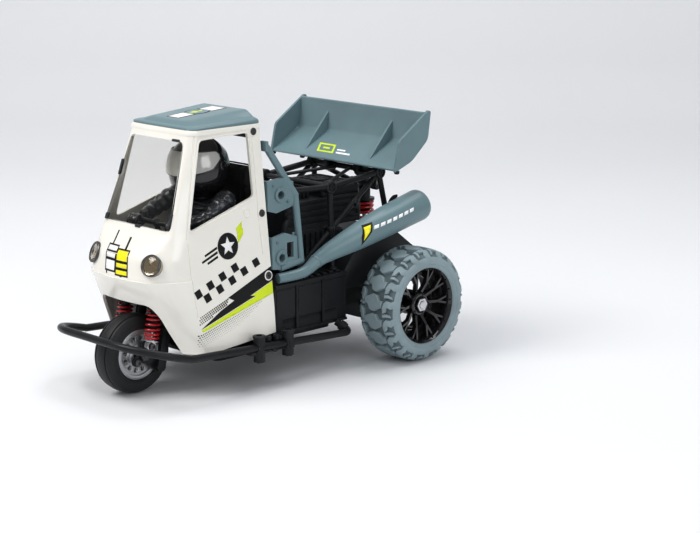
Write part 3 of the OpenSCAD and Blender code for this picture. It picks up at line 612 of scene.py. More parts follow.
LAMP = Vector((179.5, 26.4, 81.3))
LAMP_OUT = Vector((math.cos(math.radians(22)) * math.cos(math.radians(19)),
                   math.cos(math.radians(22)) * math.sin(math.radians(19)),
                   math.sin(math.radians(22))))
SCREWS = [(104, 30, 151.5), (102.6, 35.6, 103), (101.5, 40, 65.5)]
SCREW_OUT = Vector((0, math.cos(math.radians(6.7)), math.sin(math.radians(6.7))))


def mirrored(v, s):
    return Vector((v[0], v[1] * s, v[2]))


holes = Shape()
WINDOW = [(158.0, 98.6), (145.3, 150.0), (108.6, 151.2), (107.8, 113.6)]
SCREEN = [(-30.2, 99.5), (30.2, 99.5), (24.2, 149.5), (-24.2, 149.5)]
holes.prism(rounded(SCREEN, 3.5), on_front, 140, 190)
holes.prism(rounded(WINDOW, [4, 2.5, 2, 2.5]), on_side, -60, 60)
holes.prism(rounded([(-34.5, 20), (-28.5, 40), (-26.5, 50), (-22, 56.5), (22, 56.5), (26.5, 50),
                     (28.5, 40), (34.5, 20)], [1, 6, 6, 7, 7, 6, 6, 1]), on_front, 151, 210)
holes.prism([(90, 20), (90, 31.4), (150, 26.9), (150, 20)], on_side, -60, 60)
for s in BOTH:
    holes.turned(mirrored(LAMP, s), mirrored(LAMP_OUT, s), [(6.45, -9), (6.45, 9)], 40)
    for p in SCREWS:
        holes.turned(mirrored(p, s), mirrored(SCREW_OUT, s), [(2.3, -5), (2.3, 5)], 24)
shell = cut(skin, holes)


def wall_y(x, z, s=1):
    """Where the cab's side wall is, at a place seen from the side."""
    hit = CAB_BVH.ray_cast(P((x, 90 * s, z)), Vector((0, -s, 0)))
    return hit[0].y * 1000 if hit[0] is not None else 40 * s


# Door seams: shallow grooves in the side walls
grooves = Shape()
DOOR = [(160.8, 95), (148.2, 152.6), (108, 153.2)]
DOOR_REAR = [(105.6, 147.5), (105.4, 96), (104.6, 79)]
DOOR_LOW = [(160.2, 92.5), (160.6, 74), (158.2, 50)]
for s in BOTH:
    for line in (DOOR, DOOR_REAR, DOOR_LOW):
        dense = []
        for a, b in zip(line, line[1:]):
            n = max(int(math.dist(a, b) / 2.5), 2)
            dense += [Vector(a).lerp(Vector(b), k / n) for k in range(n)]
        dense.append(Vector(line[-1]))
        grooves.tube([(p.x, wall_y(p.x, p.y, s) + 0.05 * s, p.y) for p in dense], 0.5, 8)
shell = cut(shell, grooves)
shell_mesh = shell.data.copy()
bpy.data.objects.remove(shell)
shell_mesh.materials.clear()
piece("cab_shell_moulding", shell_mesh, "white inner", stands_for=["cab_shell"],
      bevel=0.3, angle=32)

# Window surround, a raised lip round each side opening
lips = Shape()
for s in BOTH:
    loop = rounded(WINDOW, [4, 2.5, 2, 2.5], 6)
    dense = []
    for a, b in zip(loop, loop[1:] + loop[:1]):
        n = max(int((b - a).length / 3), 1)
        dense += [a.lerp(b, k / n) for k in range(n)]
    mid = Vector((130, 127))
    path = [p + (p - mid).normalized() * 1.1 for p in dense]
    lips.tube([(p.x, wall_y(p.x, p.y, s) - 0.1 * s, p.y) for p in path], 0.55, 8, closed=True)
piece("window_lips", lips, "white")


# ---------- roof ----------

def roof_rings():
    base = outline(155.9)
    # The rear edge closes the loop
    rear = [Vector((98.9, y)) for y in range(-24, 25, 6)]
    base = base + rear
    profile = [(0.0, 156.05), (0.0, 157.2), (0.03, 157.9), (0.10, 158.5), (0.30, 159.2),
               (0.36, 159.3), (0.42, 159.7), (0.60, 161.2), (0.78, 162.5), (0.90, 163.1),
               (1.0, 163.3), (1.25, 163.4), (1.8, 163.5), (2.4, 163.5)]
    rings = []
    for t, z in profile:
        ring = []
        for p in base:
            wide = 18.5 + (15.5 - 18.5) * (p.x - 98.8) / 51.4
            top = Vector((100.2 + (p.x - 98.8) * (42.6 / 51.4), p.y * wide / 29.5))
            if t <= 1:
                q = p.lerp(top, t)
            else:
                q = top.lerp(Vector((121, 0)), (t - 1) / 1.5)
            rise = (z - 156.05) / 7.45
            slope = 3.1 * (q.x - 101.5) / 39.5 * rise
            ring.append((q.x, q.y * 0.993, z - max(slope, 0)))
        rings.append(ring)
    return rings


roof_shape = Shape().loft(roof_rings())
roof = piece("roof_moulding", roof_shape, "blue_grey", stands_for=["roof_cap"],
             angle=60)
ROOF_BVH = BVHTree.FromObject(roof, bpy.context.evaluated_depsgraph_get())


# ---------- printed livery ----------

FILM = 0.04


def decal(name, polys, mat, tree, aim, lift=0.07, cell=1.6):
    """Flat outlines laid on a surface. aim(a, b) gives the start and direction of a ray."""
    bm = bmesh.new()
    for poly in polys:
        bm.faces.new([bm.verts.new((p[0], p[1], 0)) for p in poly])
    spans = [[v.co[axis] for v in bm.verts] for axis in (0, 1)]
    for axis, span in enumerate(spans):
        first = math.ceil(min(span) / cell) * cell
        count = math.ceil((max(span) - first) / cell - 1e-9)
        sliced(bm, axis, [first + i * cell for i in range(count)])
    lost = []
    for v in bm.verts:
        start, way = aim(v.co.x, v.co.y)
        hit, normal, _, _ = tree.ray_cast(P(start), way)
        if hit is None:
            lost.append(v)
            continue
        if normal.dot(way) > 0:
            normal = -normal
        v.co = hit + normal * lift / 1000
    bmesh.ops.delete(bm, geom=lost, context="VERTS")
    bmesh.ops.triangulate(bm, faces=bm.faces)
    me = bpy.data.meshes.new(name)
    bm.to_mesh(me)
    bm.free()
    o = piece(name, me, mat, angle=60)
    film = o.modifiers.new("film", "SOLIDIFY")
    film.thickness, film.offset = FILM / 1000, -1
    return o


def from_side(s):
    return lambda a, b: ((a, 90 * s, b), Vector((0, -s, 0)))


def from_front(a, b):
    return (230, a, b), Vector((-1, 0, 0))


def from_top(a, b):
    return (a, b, 190), Vector((0, 0, -1))


def disc(c, r, n=28, squash=1.0):
    return [(c[0] + r * math.cos(x), c[1] + r * squash * math.sin(x)) for x in round_about(n)]


def check_field(c):
    """A leaning square of the checker band; neighbours touch at their corners."""
    x, z = c
    return [(x + 3.3, z + 1.4), (x - 1.1, z + 3.0), (x - 3.3, z - 1.4), (x + 1.1, z - 3.0)]


CHECKS = [(110.4, 74.7), (120.1, 71.0), (127.0, 74.0), (129.9, 67.1), (137.0, 70.4),
          (139.8, 63.5), (146.7, 66.7), (149.6, 59.8), (156.2, 63.0)]
STRIPE = [(98.9, 70.7), (98.9, 62.2), (117, 55.9), (112.6, 55.1), (117.8, 53.9), (156.4, 42.3),
          (141, 50.6), (129.8, 55.1), (134.2, 57.4)]
LIME = [(98.9, 61.8), (98.9, 54.7), (105.5, 53), (122.8, 48.7), (154.6, 40.6), (156.3, 41.8),
        (117.8, 53.5), (112.2, 54.8), (116.4, 55.7)]
BOLT = [(118.5, 100.4), (121.1, 98.4), (123.2, 96.6), (122.7, 93.8), (123.0, 87.8),
        (120.7, 90), (118.2, 93), (118.1, 95.9), (119, 96.9)]
SPEED = [[(139.2, 88.2 - 2.6 * k), (139.0, 86.8 - 2.6 * k), (139 + w, 86.8 - 2.6 * k - 0.36 * w),
          (139.4 + w, 87.9 - 2.6 * k - 0.36 * w)] for k, w in enumerate((9.5, 12, 8))]


def stripe_dots():
    """Rows that fade out of the front of the black stripe."""
    out = []
    for i in range(5):
        for j in range(18):
            x = 134.6 + j * 1.35 + 0.67 * (i % 2)
            z = 56.8 - 1.25 * i - 0.336 * (x - 133.8)
            if z > 56.0 - 0.44 * (x - 130.3) and x < 157.5:
                out.append(disc((x, z), 0.58 - 0.01 * j, 6))
    return out


def fine_dots():
    """Rows that fade out under the lime stripe."""
    out = []
    for i in range(6):
        for j in range(40 - 3 * i):
            x = 157.5 - j * 1.25 - 0.6 * (i % 2)
            z = min(40.3 + (156.1 - x) * 0.258, 53) - 1.4 - 1.3 * i
            out.append(disc((x, z), 0.42 * (1 - i / 8) * (1 - j / 80), 6))
    return out


for s, tag in ((1, "left"), (-1, "right")):
    aim = from_side(s)
    black = [check_field(c) for c in CHECKS] + [STRIPE, disc((130.8, 87.3), 7.8)]
    black += SPEED + stripe_dots()
    decal("livery_black_" + tag, black, "print_black", CAB_BVH, aim)
    decal("livery_lime_" + tag, [LIME, BOLT], "print_lime", CAB_BVH, aim, 0.1)
    decal("livery_dots_" + tag, fine_dots(), "print_black", CAB_BVH, aim, 0.06)
    star = []
    for i in range(10):
        r = 5.6 if i % 2 == 0 else 2.5
        a = math.pi / 2 + i * math.pi / 5
        star.append((130.8 + r * math.cos(a), 87.3 + r * math.sin(a)))
    decal("livery_star_" + tag, [star], "print_white", CAB_BVH, aim, 0.12)


def leaning(y0, y1, z0, z1, lean=0.28):
    """A slanted block on the nose, seen from the front."""
    return [(y0 - (z0 - 80) * lean, z0), (y1 - (z0 - 80) * lean, z0),
            (y1 - (z1 - 80) * lean, z1), (y0 - (z1 - 80) * lean, z1)]


NOSE = [leaning(-11.5, -1.2, 74.0, 88.6), leaning(-1.2, 9.6, 72.6, 87.2)]
bars = [leaning(-8.6, -7.4, 88.6, 95.5), leaning(4.4, 6.0, 87.2, 93.5),
        leaning(-10.2, -9.0, 72.6, 74.4), leaning(3.0, 4.6, 72.2, 73)]
decal("nose_black", NOSE + bars, "print_black", CAB_BVH, from_front, 0.06)
decal("nose_white", [leaning(-10.6, -2.0, 75.0, 80.2), leaning(-10.6, -2.0, 81.6, 84.0),
                     leaning(-10.6, -2.0, 85.4, 87.8)], "print_white", CAB_BVH, from_front, 0.1)
decal("nose_yellow", [leaning(-0.4, 8.8, 73.5, 75.8), leaning(-0.4, 8.8, 77.2, 79.6),
                      leaning(-0.4, 8.8, 81.0, 86.4)], "print_yellow", CAB_BVH, from_front, 0.1)

roof_black = [rect(104, 116, -6.8, 6.8),
              [(127, -6.2), (140.5, -5.6), (140.5, 5.6), (127, 6.2)],
              disc((121.5, 0), 8.4, 36, 0.9)]
decal("roof_black", roof_black, "print_black", ROOF_BVH, from_top, 0.05)
decal("roof_white", [rect(104.6, 115, -5.8, 5.8),
                     [(128, -5.2), (139.8, -4.7), (139.8, 4.7), (128, 5.2)]],
      "print_white", ROOF_BVH, from_top, 0.09)
decal("roof_badge", [disc((121.5, 0), 7.2, 36, 0.9)], "blue_grey", ROOF_BVH, from_top, 0.09)
badge = [(126.6, -1.2), (121.8, -3.0), (121.2, -0.4), (116.4, -2.0), (119.6, 2.4), (120.6, 0.8),
         (124.2, 2.6)]
decal("roof_flash", [badge], "print_lime", ROOF_BVH, from_top, 0.13)


# ---------- windscreen, lamps, small cab details ----------

def screen_x(z):
    return 169.0 - (z - 99.8) * (17.1 / 49.3)


pane = Shape()
loop = rounded([(-29.7, 99.9), (29.7, 99.9), (23.8, 149.1), (-23.8, 149.1)], 3.2)
pane.loft([[(screen_x(p[1]) - d, p[0], p[1]) for p in loop] for d in (0.0, 0.9)])
piece("windscreen_pane", pane, "glass", stands_for=["windshield"], bevel=0.2)
clips = Shape()
for y, z, w, h in ((2, 99.6, 5, 1.6), (-28.4, 101.4, 2.4, 3.4), (28.6, 106, 1.4, 7),
                   (-26.6, 130, 1.6, 9), (17, 149.6, 7, 1.5)):
    ring = rounded(rect(y - w / 2, y + w / 2, z - h / 2, z + h / 2), 0.5, 3)
    clips.loft([[(screen_x(p[1]) + d, p[0], p[1]) for p in ring] for d in (-1.2, 0.5)])
piece("windscreen_clips", clips, "back_grey", bevel=0.15)

rims, glass, bulbs = Shape(), Shape(), Shape()
for s in BOTH:
    c, t = mirrored(LAMP, s), mirrored(LAMP_OUT, s)
    rims.turned(c, t, [(5.45, -0.6), (5.45, 0.5), (5.7, 0.85), (6.1, 0.9), (6.5, 0.5),
                       (6.5, -0.6)], 56, closed=True)
    glass.turned(c, t, [(5.4, -0.1), (5.1, 0.35), (4.0, 0.75), (2.2, 1.05), (0.6, 1.15),
                        (0.6, 0.6), (3.0, 0.3), (5.2, -0.4)], 56)
    bulbs.turned(c, t, [(5.2, -0.6), (4.6, -2.4), (3.4, -3.6), (1.9, -4.1), (1.9, -3.2),
                        (1.6, -2.2), (0.9, -1.7), (0.3, -1.6)], 40)
    bulbs.turned(c, t, [(3.7, -2.6), (3.7, -2.2), (3.3, -2.2), (3.3, -2.9)], 40, closed=True)
piece("headlight_rims", rims, "dark_steel")
piece("headlight_glass", glass, "lens", stands_for=["headlight_lenses"])
piece("headlight_reflectors", bulbs, "lamp")

cups = Shape()
for s in BOTH:
    for p in SCREWS:
        c = mirrored(p, s)
        cups.turned(c, mirrored(SCREW_OUT, s), [(2.25, -0.6), (2.25, 0.35), (2.6, 0.5),
                                                (3.0, 0.35), (3.2, -0.2), (3.2, -0.6)],
                    32, closed=True)
    y = wall_y(113.8, 104.6, s)
    cups.turned((113.8, y, 104.6), mirrored(SCREW_OUT, s),
                [(0.2, 0.25), (1.7, 0.25), (1.9, 0.5), (2.5, 0.5), (2.8, 0.1), (2.8, -0.5)], 32)
    cups.turned((108.2, wall_y(108.2, 147, s), 147), mirrored(SCREW_OUT, s),
                [(0.7, -0.3), (0.7, 0.2), (0.4, 0.4)], 16)
piece("cab_bosses", cups, "white")


# ---------- driver and seat ----------

HELMET = Vector((120.6, 0, 128.3))


def helmet_point(a, e, grow=0.0):
    """A point of the helmet at azimuth a and elevation e in degrees."""
    ca, ce = math.cos(math.radians(a)), math.cos(math.radians(e))
    sa, se = math.sin(math.radians(a)), math.sin(math.radians(e))
    r, h = 18.6 + grow, 19.4 + grow
    front = max(ca, 0)
    chin = math.exp(-((e + 36) / 17) ** 2) * front ** 2 * 1.4
    brow = math.exp(-((e - 41) / 7) ** 2) * front ** 0.5 * 0.5
    spoiler = math.exp(-((e - 30) / 9) ** 2) * max(-ca, 0) ** 2 * 0.6
    side = 1 - 0.045 * sa ** 4
    k = r + chin + brow + spoiler
    return HELMET + Vector((ca * ce * k, sa * ce * k * side, se * h))


# Helmet shell with its chin, brow, vents and pivots
helmet = Shape()
rings = []
for e in [-68, -66, -60, -54, -48, -42, -36, -30, -24, -16, -8, 0, 8, 16, 22, 26, 30, 36, 44,
          52, 60, 68, 76, 83, 88]:
    rings.append([helmet_point(a * 5, e) for a in range(72)])
helmet.loft(rings)
helmet.turned(HELMET + Vector((0, 0, -17.6)), (0, 0, 1), [(6, -0.6), (7.6, -0.9), (8.2, 0),
              (7.6, 0.8), (6, 0.5)], 48, closed=True)
for s in BOTH:
    for k in range(3):
        c = helmet_point(18 * s + 0, -44 + 0) + Vector((0.2, 2.4 * k * s, 0.5 * k))
        helmet.turned(c, c - HELMET, [(0.9, -0.5), (0.9, 0.3), (0.6, 0.5)], 12)
    c = helmet_point(104 * s, 8)
    helmet.turned(c, (-0.2, s, 0.1), [(3, -0.8), (3, 0.3), (2.6, 0.6), (1.2, 0.7), (0.8, 0.4)], 32)
piece("helmet_shell", helmet, "gloss_black", stands_for=["driver_helmet"],
      angle=50)


def visor_edge(u):
    """Angles of the visor's upper and lower edge at a share of its half width."""
    a = abs(u)
    corner = max(a - 0.92, 0) / 0.08
    return 34 - 7 * corner ** 2, -8 + 13 * min(a / 0.8, 1) ** 1.6 + 16 * max(a - 0.8, 0) / 0.2


visor = Shape()
cols = [-1 + i / 20 for i in range(41)]
cols[0], cols[-1] = -0.995, 0.995
grids = []
for grow in (1.15, 0.35):
    grid = []
    for u in cols:
        top, low = visor_edge(u)
        grid.append([helmet_point(95 * u, low + (top - low) * j / 10, grow) for j in range(11)])
    grids.append(grid)
visor.loft([grids[0][i] + grids[1][i][::-1] for i in range(len(cols))])
piece("visor_screen", visor, "visor", stands_for=["driver_visor"], angle=40)
seal = [helmet_point(96.5 * u, visor_edge(u)[0] + 1.2, 0.7) for u in cols]
seal += [helmet_point(96.5 * u, visor_edge(u)[1] - 1.2, 0.7) for u in reversed(cols)]
piece("visor_seal", Shape().tube(seal, 0.45, 8, closed=True), "leather")


def blob(shape, centre, radii, turn=0.0, n=16):
    """A closed egg, used only inside fused()."""
    rings = []
    for i in range(n + 1):
        e = -math.pi / 2 + 0.12 + (math.pi - 0.24) * i / n
        ring = []
        for j in range(20):
            a = 2 * math.pi * j / 20
            x, y = radii[0] * math.cos(e) * math.cos(a), radii[1] * math.cos(e) * math.sin(a)
            ct, st = math.cos(turn), math.sin(turn)
            ring.append(Vector(centre) + Vector((x * ct - y * st, x * st + y * ct,
                                                 radii[2] * math.sin(e))))
        rings.append(ring)
    shape.loft(rings)


# Padded jacket: stacked rolls for the body, a sleeve of puffs on each side
jacket = Shape()
for i in range(8):
    z = 83.5 + i * 3.4
    half = 15 + 4.6 * math.sin(min(i / 6, 1) * math.pi / 2)
    blob(jacket, (117, 0, z), (8.2 - 0.2 * abs(i - 3), half, 2.9))
blob(jacket, (116, 0, 109.5), (7, 9, 3.2))
for s in BOTH:
    blob(jacket, (117, 20 * s, 110.6), (6.8, 6.6, 6.6))
    sleeve = smooth_path([(118, 21.4 * s, 111), (124.5, 23.4 * s, 108.6), (132, 24.2 * s, 104.8),
                          (139.5, 22.6 * s, 101.4), (147.6, 19 * s, 98.8)], 9)
    radii = []
    for k in range(len(sleeve)):
        t = k / (len(sleeve) - 1)
        radii.append((6.7 - 2.7 * t) * (0.80 + 0.24 * abs(math.sin(t * math.pi * 5.5))))
    jacket.tube(sleeve, radii, 20)
body = puffed(fused(jacket, 1.0, 3), 6, 1.1)
for v in body.vertices:
    q = v.co * 1000
    fold = noise.noise(q * 0.22) * 0.5 + noise.noise(q * 0.55) * 0.15
    v.co += v.normal * fold / 1000
piece("driver_jacket", body, "leather", stands_for=["driver_body"], angle=80)

# Gloves closed round the grips
gloves = Shape()
for s in BOTH:
    blob(gloves, (153.2, 18 * s, 98.2), (3.7, 4.6, 3.9))
    gloves.tube([(149.4, 18.6 * s, 97.6), (151, 18.4 * s, 98)], 3.5, 18)
    for k in range(4):
        y = (14.6 + 2.35 * k) * s
        curl = [(153.6, y, 101.2), (156.2, y, 100.9), (157.9, y, 98.6), (157.2, y, 96.2),
                (155.2, y, 95.2)]
        gloves.tube(smooth_path(curl, 4), 1.25 - 0.05 * k, 10)
    gloves.tube(smooth_path([(152, 14.6 * s, 99.5), (154.4, 13.3 * s, 98.2),
                             (156.0, 13.2 * s, 96.8)], 4), 1.2, 10)
piece("driver_hands", fused(gloves, 0.45, 4), "leather", stands_for=["driver_gloves"],
      angle=80)


def cushion(place, a0, a1, b0, b1, low, high, channels, edge=4.0):
    """A crowned pad with sewn channels: a closed grid whose front face swells."""
    s = Shape()
    na, nb = 34, 36
    front, back = [], []
    for i in range(na + 1):
        a = a0 + (a1 - a0) * i / na
        fr, bk = [], []
        for j in range(nb + 1):
            b = b0 + (b1 - b0) * j / nb
            d = min(a - a0, a1 - a, b - b0, b1 - b)
            rim = math.sin(min(d / edge, 1) * math.pi / 2) ** 0.6 if d > 0 else 0
            seam = 1.0
            for axis, at in channels:
                gap = abs((a if axis == "a" else b) - at)
                seam = min(seam, 0.45 + 0.55 * min(gap / 1.4, 1) ** 0.5)
            fr.append(place(a, b, low + (high - low) * max(rim * seam, 0.12)))
            bk.append(place(a, b, low))
        front.append(fr)
        back.append(bk)
    s.loft([front[i] + back[i][::-1] for i in range(na + 1)])
    return s


seat = cushion(lambda a, b, d: Vector((d, a, b)), -24, 24, 80.4, 130.4, 99.3, 102.1,
               [("a", -15), ("a", 15), ("b", 92), ("b", 104), ("b", 116)])
for s in BOTH:
    bolster = smooth_path([(100.6, 25.2 * s, 81), (101.6, 25.6 * s, 96), (101.2, 24.4 * s, 110)], 6)
    seat.tube(bolster, [1.6 + 0.5 * math.sin(math.pi * i / 12) for i in range(13)], 14)
    seat.tube(smooth_path([(101, 22.5 * s, 81), (103.2, 25.4 * s, 82), (109.5, 25.4 * s, 82.5)], 6),
              1.5, 14)
cover = puffed(fused(seat, 0.8, 1), 2, 0.5, 10)
piece("seat_cover", cover, "seat", stands_for=["seat"], angle=80)
# Piping round the seat, then the dash and grips
piping = Shape()
edge_line = rounded(rect(-24, 24, 80.6, 130.2), 4, 6)
piping.tube([(100.1, p[0], p[1]) for p in edge_line], 0.5, 8, closed=True)
piece("seat_piping", piping, "leather")
wheel = Shape()
for s in BOTH:
    wheel.tube([(153.5, 11.4 * s, 99), (153.5, 21.5 * s, 99)], 1.7, 16)
    wheel.turned((153.5, 21.5 * s, 99), (0, s, 0), [(1.7, 0), (2.1, 0.3), (2.1, 1), (1.4, 1.4)], 16)
dash = [(148.5, 87.6), (159.5, 87.6), (160.5, 89.4), (157, 91.8), (150.6, 90.4)]
wheel.prism(rounded(dash, 1), on_side, -20, 20)
for y in (-8, 0, 8):
    wheel.turned((153.2, y, 90.4), (-0.5, 0, 1), [(2.6, -0.5), (2.6, 1.0), (2.2, 1.3), (2.0, 0.9)],
                 28)
piece("dash_and_grips", wheel, "soft_black", bevel=0.2)


# ---------- wheels ----------

TYRE_R, TREAD_DEPTH = 35.8, 2.5
REAR = Vector((0, 0, TYRE_R))
FRONT = Vector((174.2, 0, 23.8))
TYRE_MID, PITCHES = 62.5, 18
# Half of the tread's section: distance across from its middle, radius
CROWN = [(0, TYRE_R), (6, 35.75), (8.5, 35.5), (10.5, 35.0), (12, 34.2), (13.2, 33.0),
         (14.2, 31.2), (14.8, 29.0), (15, 27)]


def crown(t):
    """The tread's radius at a distance across from its middle."""
    t = abs(t)
    for (t0, r0), (t1, r1) in zip(CROWN, CROWN[1:]):
        if t <= t1:
            return r0 + (r1 - r0) * (t - t0) / (t1 - t0)
    return CROWN[-1][1]


def tread_template():
    """One pitch of tread, flat: x along the tyre in mm, y across it, z its height."""
    pitch = 2 * math.pi * TYRE_R / PITCHES
    centre = [(0.06, 0.6), (0.22, 4.4), (0.30, 6.6), (0.62, 7.0), (0.60, 4.2), (0.84, 2.4),
              (0.90, -0.8), (0.76, -4.2), (0.70, -6.8), (0.40, -7.0), (0.38, -4.2), (0.14, -2.6)]
    lug = [(0.02, 8.4), (0.30, 7.9), (0.52, 8.6), (0.66, 10.4), (0.62, 12.8), (0.74, 14.35),
           (0.40, 14.6), (0.26, 13.0), (0.34, 11.2), (0.10, 10.2)]
    small = [(0.80, 8.6), (0.95, 8.2), (0.98, 10.6), (0.92, 13.0), (0.80, 13.4), (0.84, 10.8)]
    blocks = [centre, lug, small]
    blocks += [[((x + 0.5), -y) for x, y in b] for b in (lug, small)]
    bm = bmesh.new()
    for b in blocks:
        mx, my = sum(x for x, _ in b) / len(b), sum(y for _, y in b) / len(b)
        b = [(mx + (x - mx) * 1.07, my + (y - my) * 1.05) for x, y in b]
        f = bm.faces.new([bm.verts.new((x * pitch, y, 0)) for x, y in b])
        if f.normal.z < 0:
            f.normal_flip()
        out = bmesh.ops.extrude_face_region(bm, geom=[f])
        for g in out["geom"]:
            if isinstance(g, bmesh.types.BMVert):
                g.co.z = -TREAD_DEPTH
                mid = Vector((sum(p[0] for p in b) / len(b) * pitch, sum(p[1] for p in b) / len(b)))
                g.co.x += (g.co.x - mid.x) * 0.05
                g.co.y += (g.co.y - mid.y) * 0.05
    bmesh.ops.recalc_face_normals(bm, faces=bm.faces)
    tops = [e for e in bm.edges if all(abs(v.co.z) < 1e-6 for v in e.verts)]
    bmesh.ops.bevel(bm, geom=tops, offset=0.28, segments=1, affect="EDGES")
    sliced(bm, 1, [-13, -11.5, -10, -8.5, 8.5, 10, 11.5, 13])
    sliced(bm, 0, [3, 6, 9, 12, 15])
    bm.verts.index_update()
    verts = [v.co.copy() for v in bm.verts]
    faces = [[v.index for v in f.verts] for f in bm.faces]
    bm.free()
    return verts, faces


def wrap(x, y, h, centre, s):
    """The flat tread point on the tyre: round the axle and over the shoulder."""
    a = x / TYRE_R
    slope = crown(abs(y) + 0.3) - crown(max(abs(y) - 0.3, 0))
    tilt = math.atan2(-slope, 0.6)
    r = crown(y) + h * math.cos(tilt)
    side = y + h * math.sin(tilt) * (1 if y > 0 else -1)
    return Vector((centre.x + r * math.cos(a), (TYRE_MID + side) * s, centre.z + r * math.sin(a)))


tread_v, tread_f = tread_template()
tyres = Shape()
for s in BOTH:
    for i in range(PITCHES):
        shift = 2 * math.pi * TYRE_R * i / PITCHES
        tyres.add([wrap(v.x + shift, v.y, v.z, REAR, s) for v in tread_v], tread_f)
    half = [(24.55, 13.4), (25.2, 13.9), (26.2, 14.3), (26.8, 14.1), (27.6, 14.6), (29, 14.7),
            (30.4, 14.3), (31.4, 13.4), (32.2, 12.3), (32.9, 10.8), (33.4, 9), (33.6, 5), (33.7, 0)]
    prof = half + [(r, -h) for r, h in reversed(half[:-1])]
    prof += [(23.6, -12), (23.6, 12)]
    mid = REAR + Vector((0, TYRE_MID * s, 0))
    tyres.turned(mid, (0, 1, 0), prof, 108, closed=True)
    # The tread's floor between the blocks takes the second slot: darker grey as painted shade in the
    # grooves
    band = [(31.45, -13.5), (32.25, -12.35), (32.95, -10.8), (33.45, -9), (33.65, -5), (33.75, 0)]
    band += [(r, -h) for r, h in reversed(band[:-1])]
    band += [(r - 0.6, h) for r, h in reversed(band)]
    tyres.turned(mid, (0, 1, 0), band, 108, closed=True, slot=1)
piece("rear_tyre_treads", tyres, "tyre_grey tyre_groove", "rear_axle_body", ["rear_tyres"],
      angle=40)

# Rear rims: barrel, hub, ten forked spokes, bolts
rim = Shape()
for s in BOTH:
    c = REAR
    out = (0, s, 0)
    rim.turned(c, out, [(23.2, 49), (24.4, 49), (24.4, 50.4), (23.3, 51), (22.8, 58), (23.3, 73),
                        (24.4, 73.9), (24.5, 75.2), (23.9, 75.5), (23.2, 74.6), (22.2, 73.2),
                        (21.8, 66), (21.8, 58), (22.2, 50)], 96, closed=True)
    rim.turned(c, out, [(2.55, 56), (7.6, 56), (8, 60), (7.4, 69.6), (6.6, 70.4), (5.4, 70.4),
                        (5.4, 68), (2.55, 68)], 48, closed=True)
    rim.turned(c, out, [(17.6, 63), (21.9, 62.4), (21.9, 63.6), (17.6, 64)], 72, closed=True)
    for i in range(10):
        for lean in (-0.1, 0.1):
            a = 2 * math.pi * i / 10
            a2 = a + lean
            ring0, ring1, ring2 = [], [], []
            for r, y, w, ring, ang in ((6.6, 67.5, 1.6, ring0, a), (14.5, 70.6, 1.15, ring1, a),
                                       (22.2, 71.4, 0.95, ring2, a2)):
                d = Vector((math.cos(ang), 0, math.sin(ang)))
                n = Vector((-math.sin(ang), 0, math.cos(ang)))
                for dn, dy in ((-w, -1.6), (w, -1.6), (w * 0.7, 1.0), (-w * 0.7, 1.0)):
                    p = c + d * r + n * dn
                    ring.append(Vector((p.x, (y + dy) * s, p.z)))
            rim.loft([ring0, ring1, ring2])
    for i in range(5):
        a = 2 * math.pi * (i + 0.5) / 5
        rim.bolt(c + Vector((math.cos(a) * 6.5, 70.2 * s, math.sin(a) * 6.5)), out, 0.8, 0.7)
    for a in round_about(20):
        rim.bolt(c + Vector((math.cos(a) * 22.9, 74.2 * s, math.sin(a) * 22.9)), out, 0.55, 0.6)
piece("rear_spoked_rims", rim, "gloss_black", "rear_axle_body", ["rear_rims"],
      bevel=0.18, angle=35)

# Front tyre with a groove beside its tread, then the trim of its rim
tyre = Shape()
half = [(14.1, 6.0), (15.1, 6.2), (15.4, 7.0), (16.2, 7.5), (16.9, 7.35), (17.4, 7.6), (19, 7.75),
        (20.4, 7.6), (21.6, 7.15), (22.5, 6.4), (23.1, 5.4), (23.15, 4.7), (22.6, 4.5), (22.5, 4.0),
        (23.3, 3.75), (23.65, 2.6), (23.8, 1.0)]
prof = half + [(r, -h) for r, h in reversed(half)]
tyre.turned(FRONT, (0, 1, 0), prof, 128, closed=True)
piece("front_tyre_rubber", tyre, "tyre_black", "front_wheel", ["front_tyre"],
      angle=30)
hub = Shape()
for s in BOTH:
    hub.turned(FRONT, (0, s, 0), [(13.3, 5.4), (14.9, 5.9), (15.05, 6.9), (14.5, 7.1),
                                  (13.2, 6.3)], 96, closed=True)
    hub.turned(FRONT, (0, s, 0), [(4.2, 5.6), (6.6, 5.6), (6.3, 6.6), (5.0, 7.2), (4.2, 7.2)],
               48, closed=True)
    for a in round_about(12):
        c = FRONT + Vector((math.cos(a) * 9.6, 5.6 * s, math.sin(a) * 9.6))
        hub.turned(c, (0, s, 0), [(1.45, -0.4), (1.45, 0.35), (1.75, 0.4), (2.0, 0.1),
                                  (2.0, -0.4)], 20, closed=True)
piece("front_rim_trim", hub, "silver", "front_wheel", angle=40)


# ---------- springs and shocks ----------

def coil(axis_at, u, r, turns):
    """Centre line of a coil about axis_at(share), with u across; the end turns lie closer."""
    v = Vector((0, 1, 0))
    n = int(turns * 26)
    pts = []
    for i in range(n + 1):
        t = i / n
        w = 2 * math.pi * turns * t
        share = min(max(t - 0.035 * math.sin(2 * math.pi * t), 0), 1)
        pts.append(axis_at(share) + r * (u * math.cos(w) + v * math.sin(w)))
    return pts


springs = Shape()
side_u = S(1, 0, 0) - S(0, 0, 0)
for s in BOTH:
    springs.tube(coil(lambda t: S(0, 14 * s, 11.0 + 15.7 * t), side_u, 4.15, 6), 0.72, 10)
front_springs = piece("front_coils", springs, "red", None, ["front_springs"])
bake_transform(front_springs)
rear = Shape()
rear.tube(coil(lambda t: Vector((-20, 0, 70.2 + 19.8 * t)), Vector((1, 0, 0)), 5.6, 6.5), 0.92, 10)
rear_spring = piece("rear_coil", rear, "red", None, ["rear_spring"])
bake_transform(rear_spring)

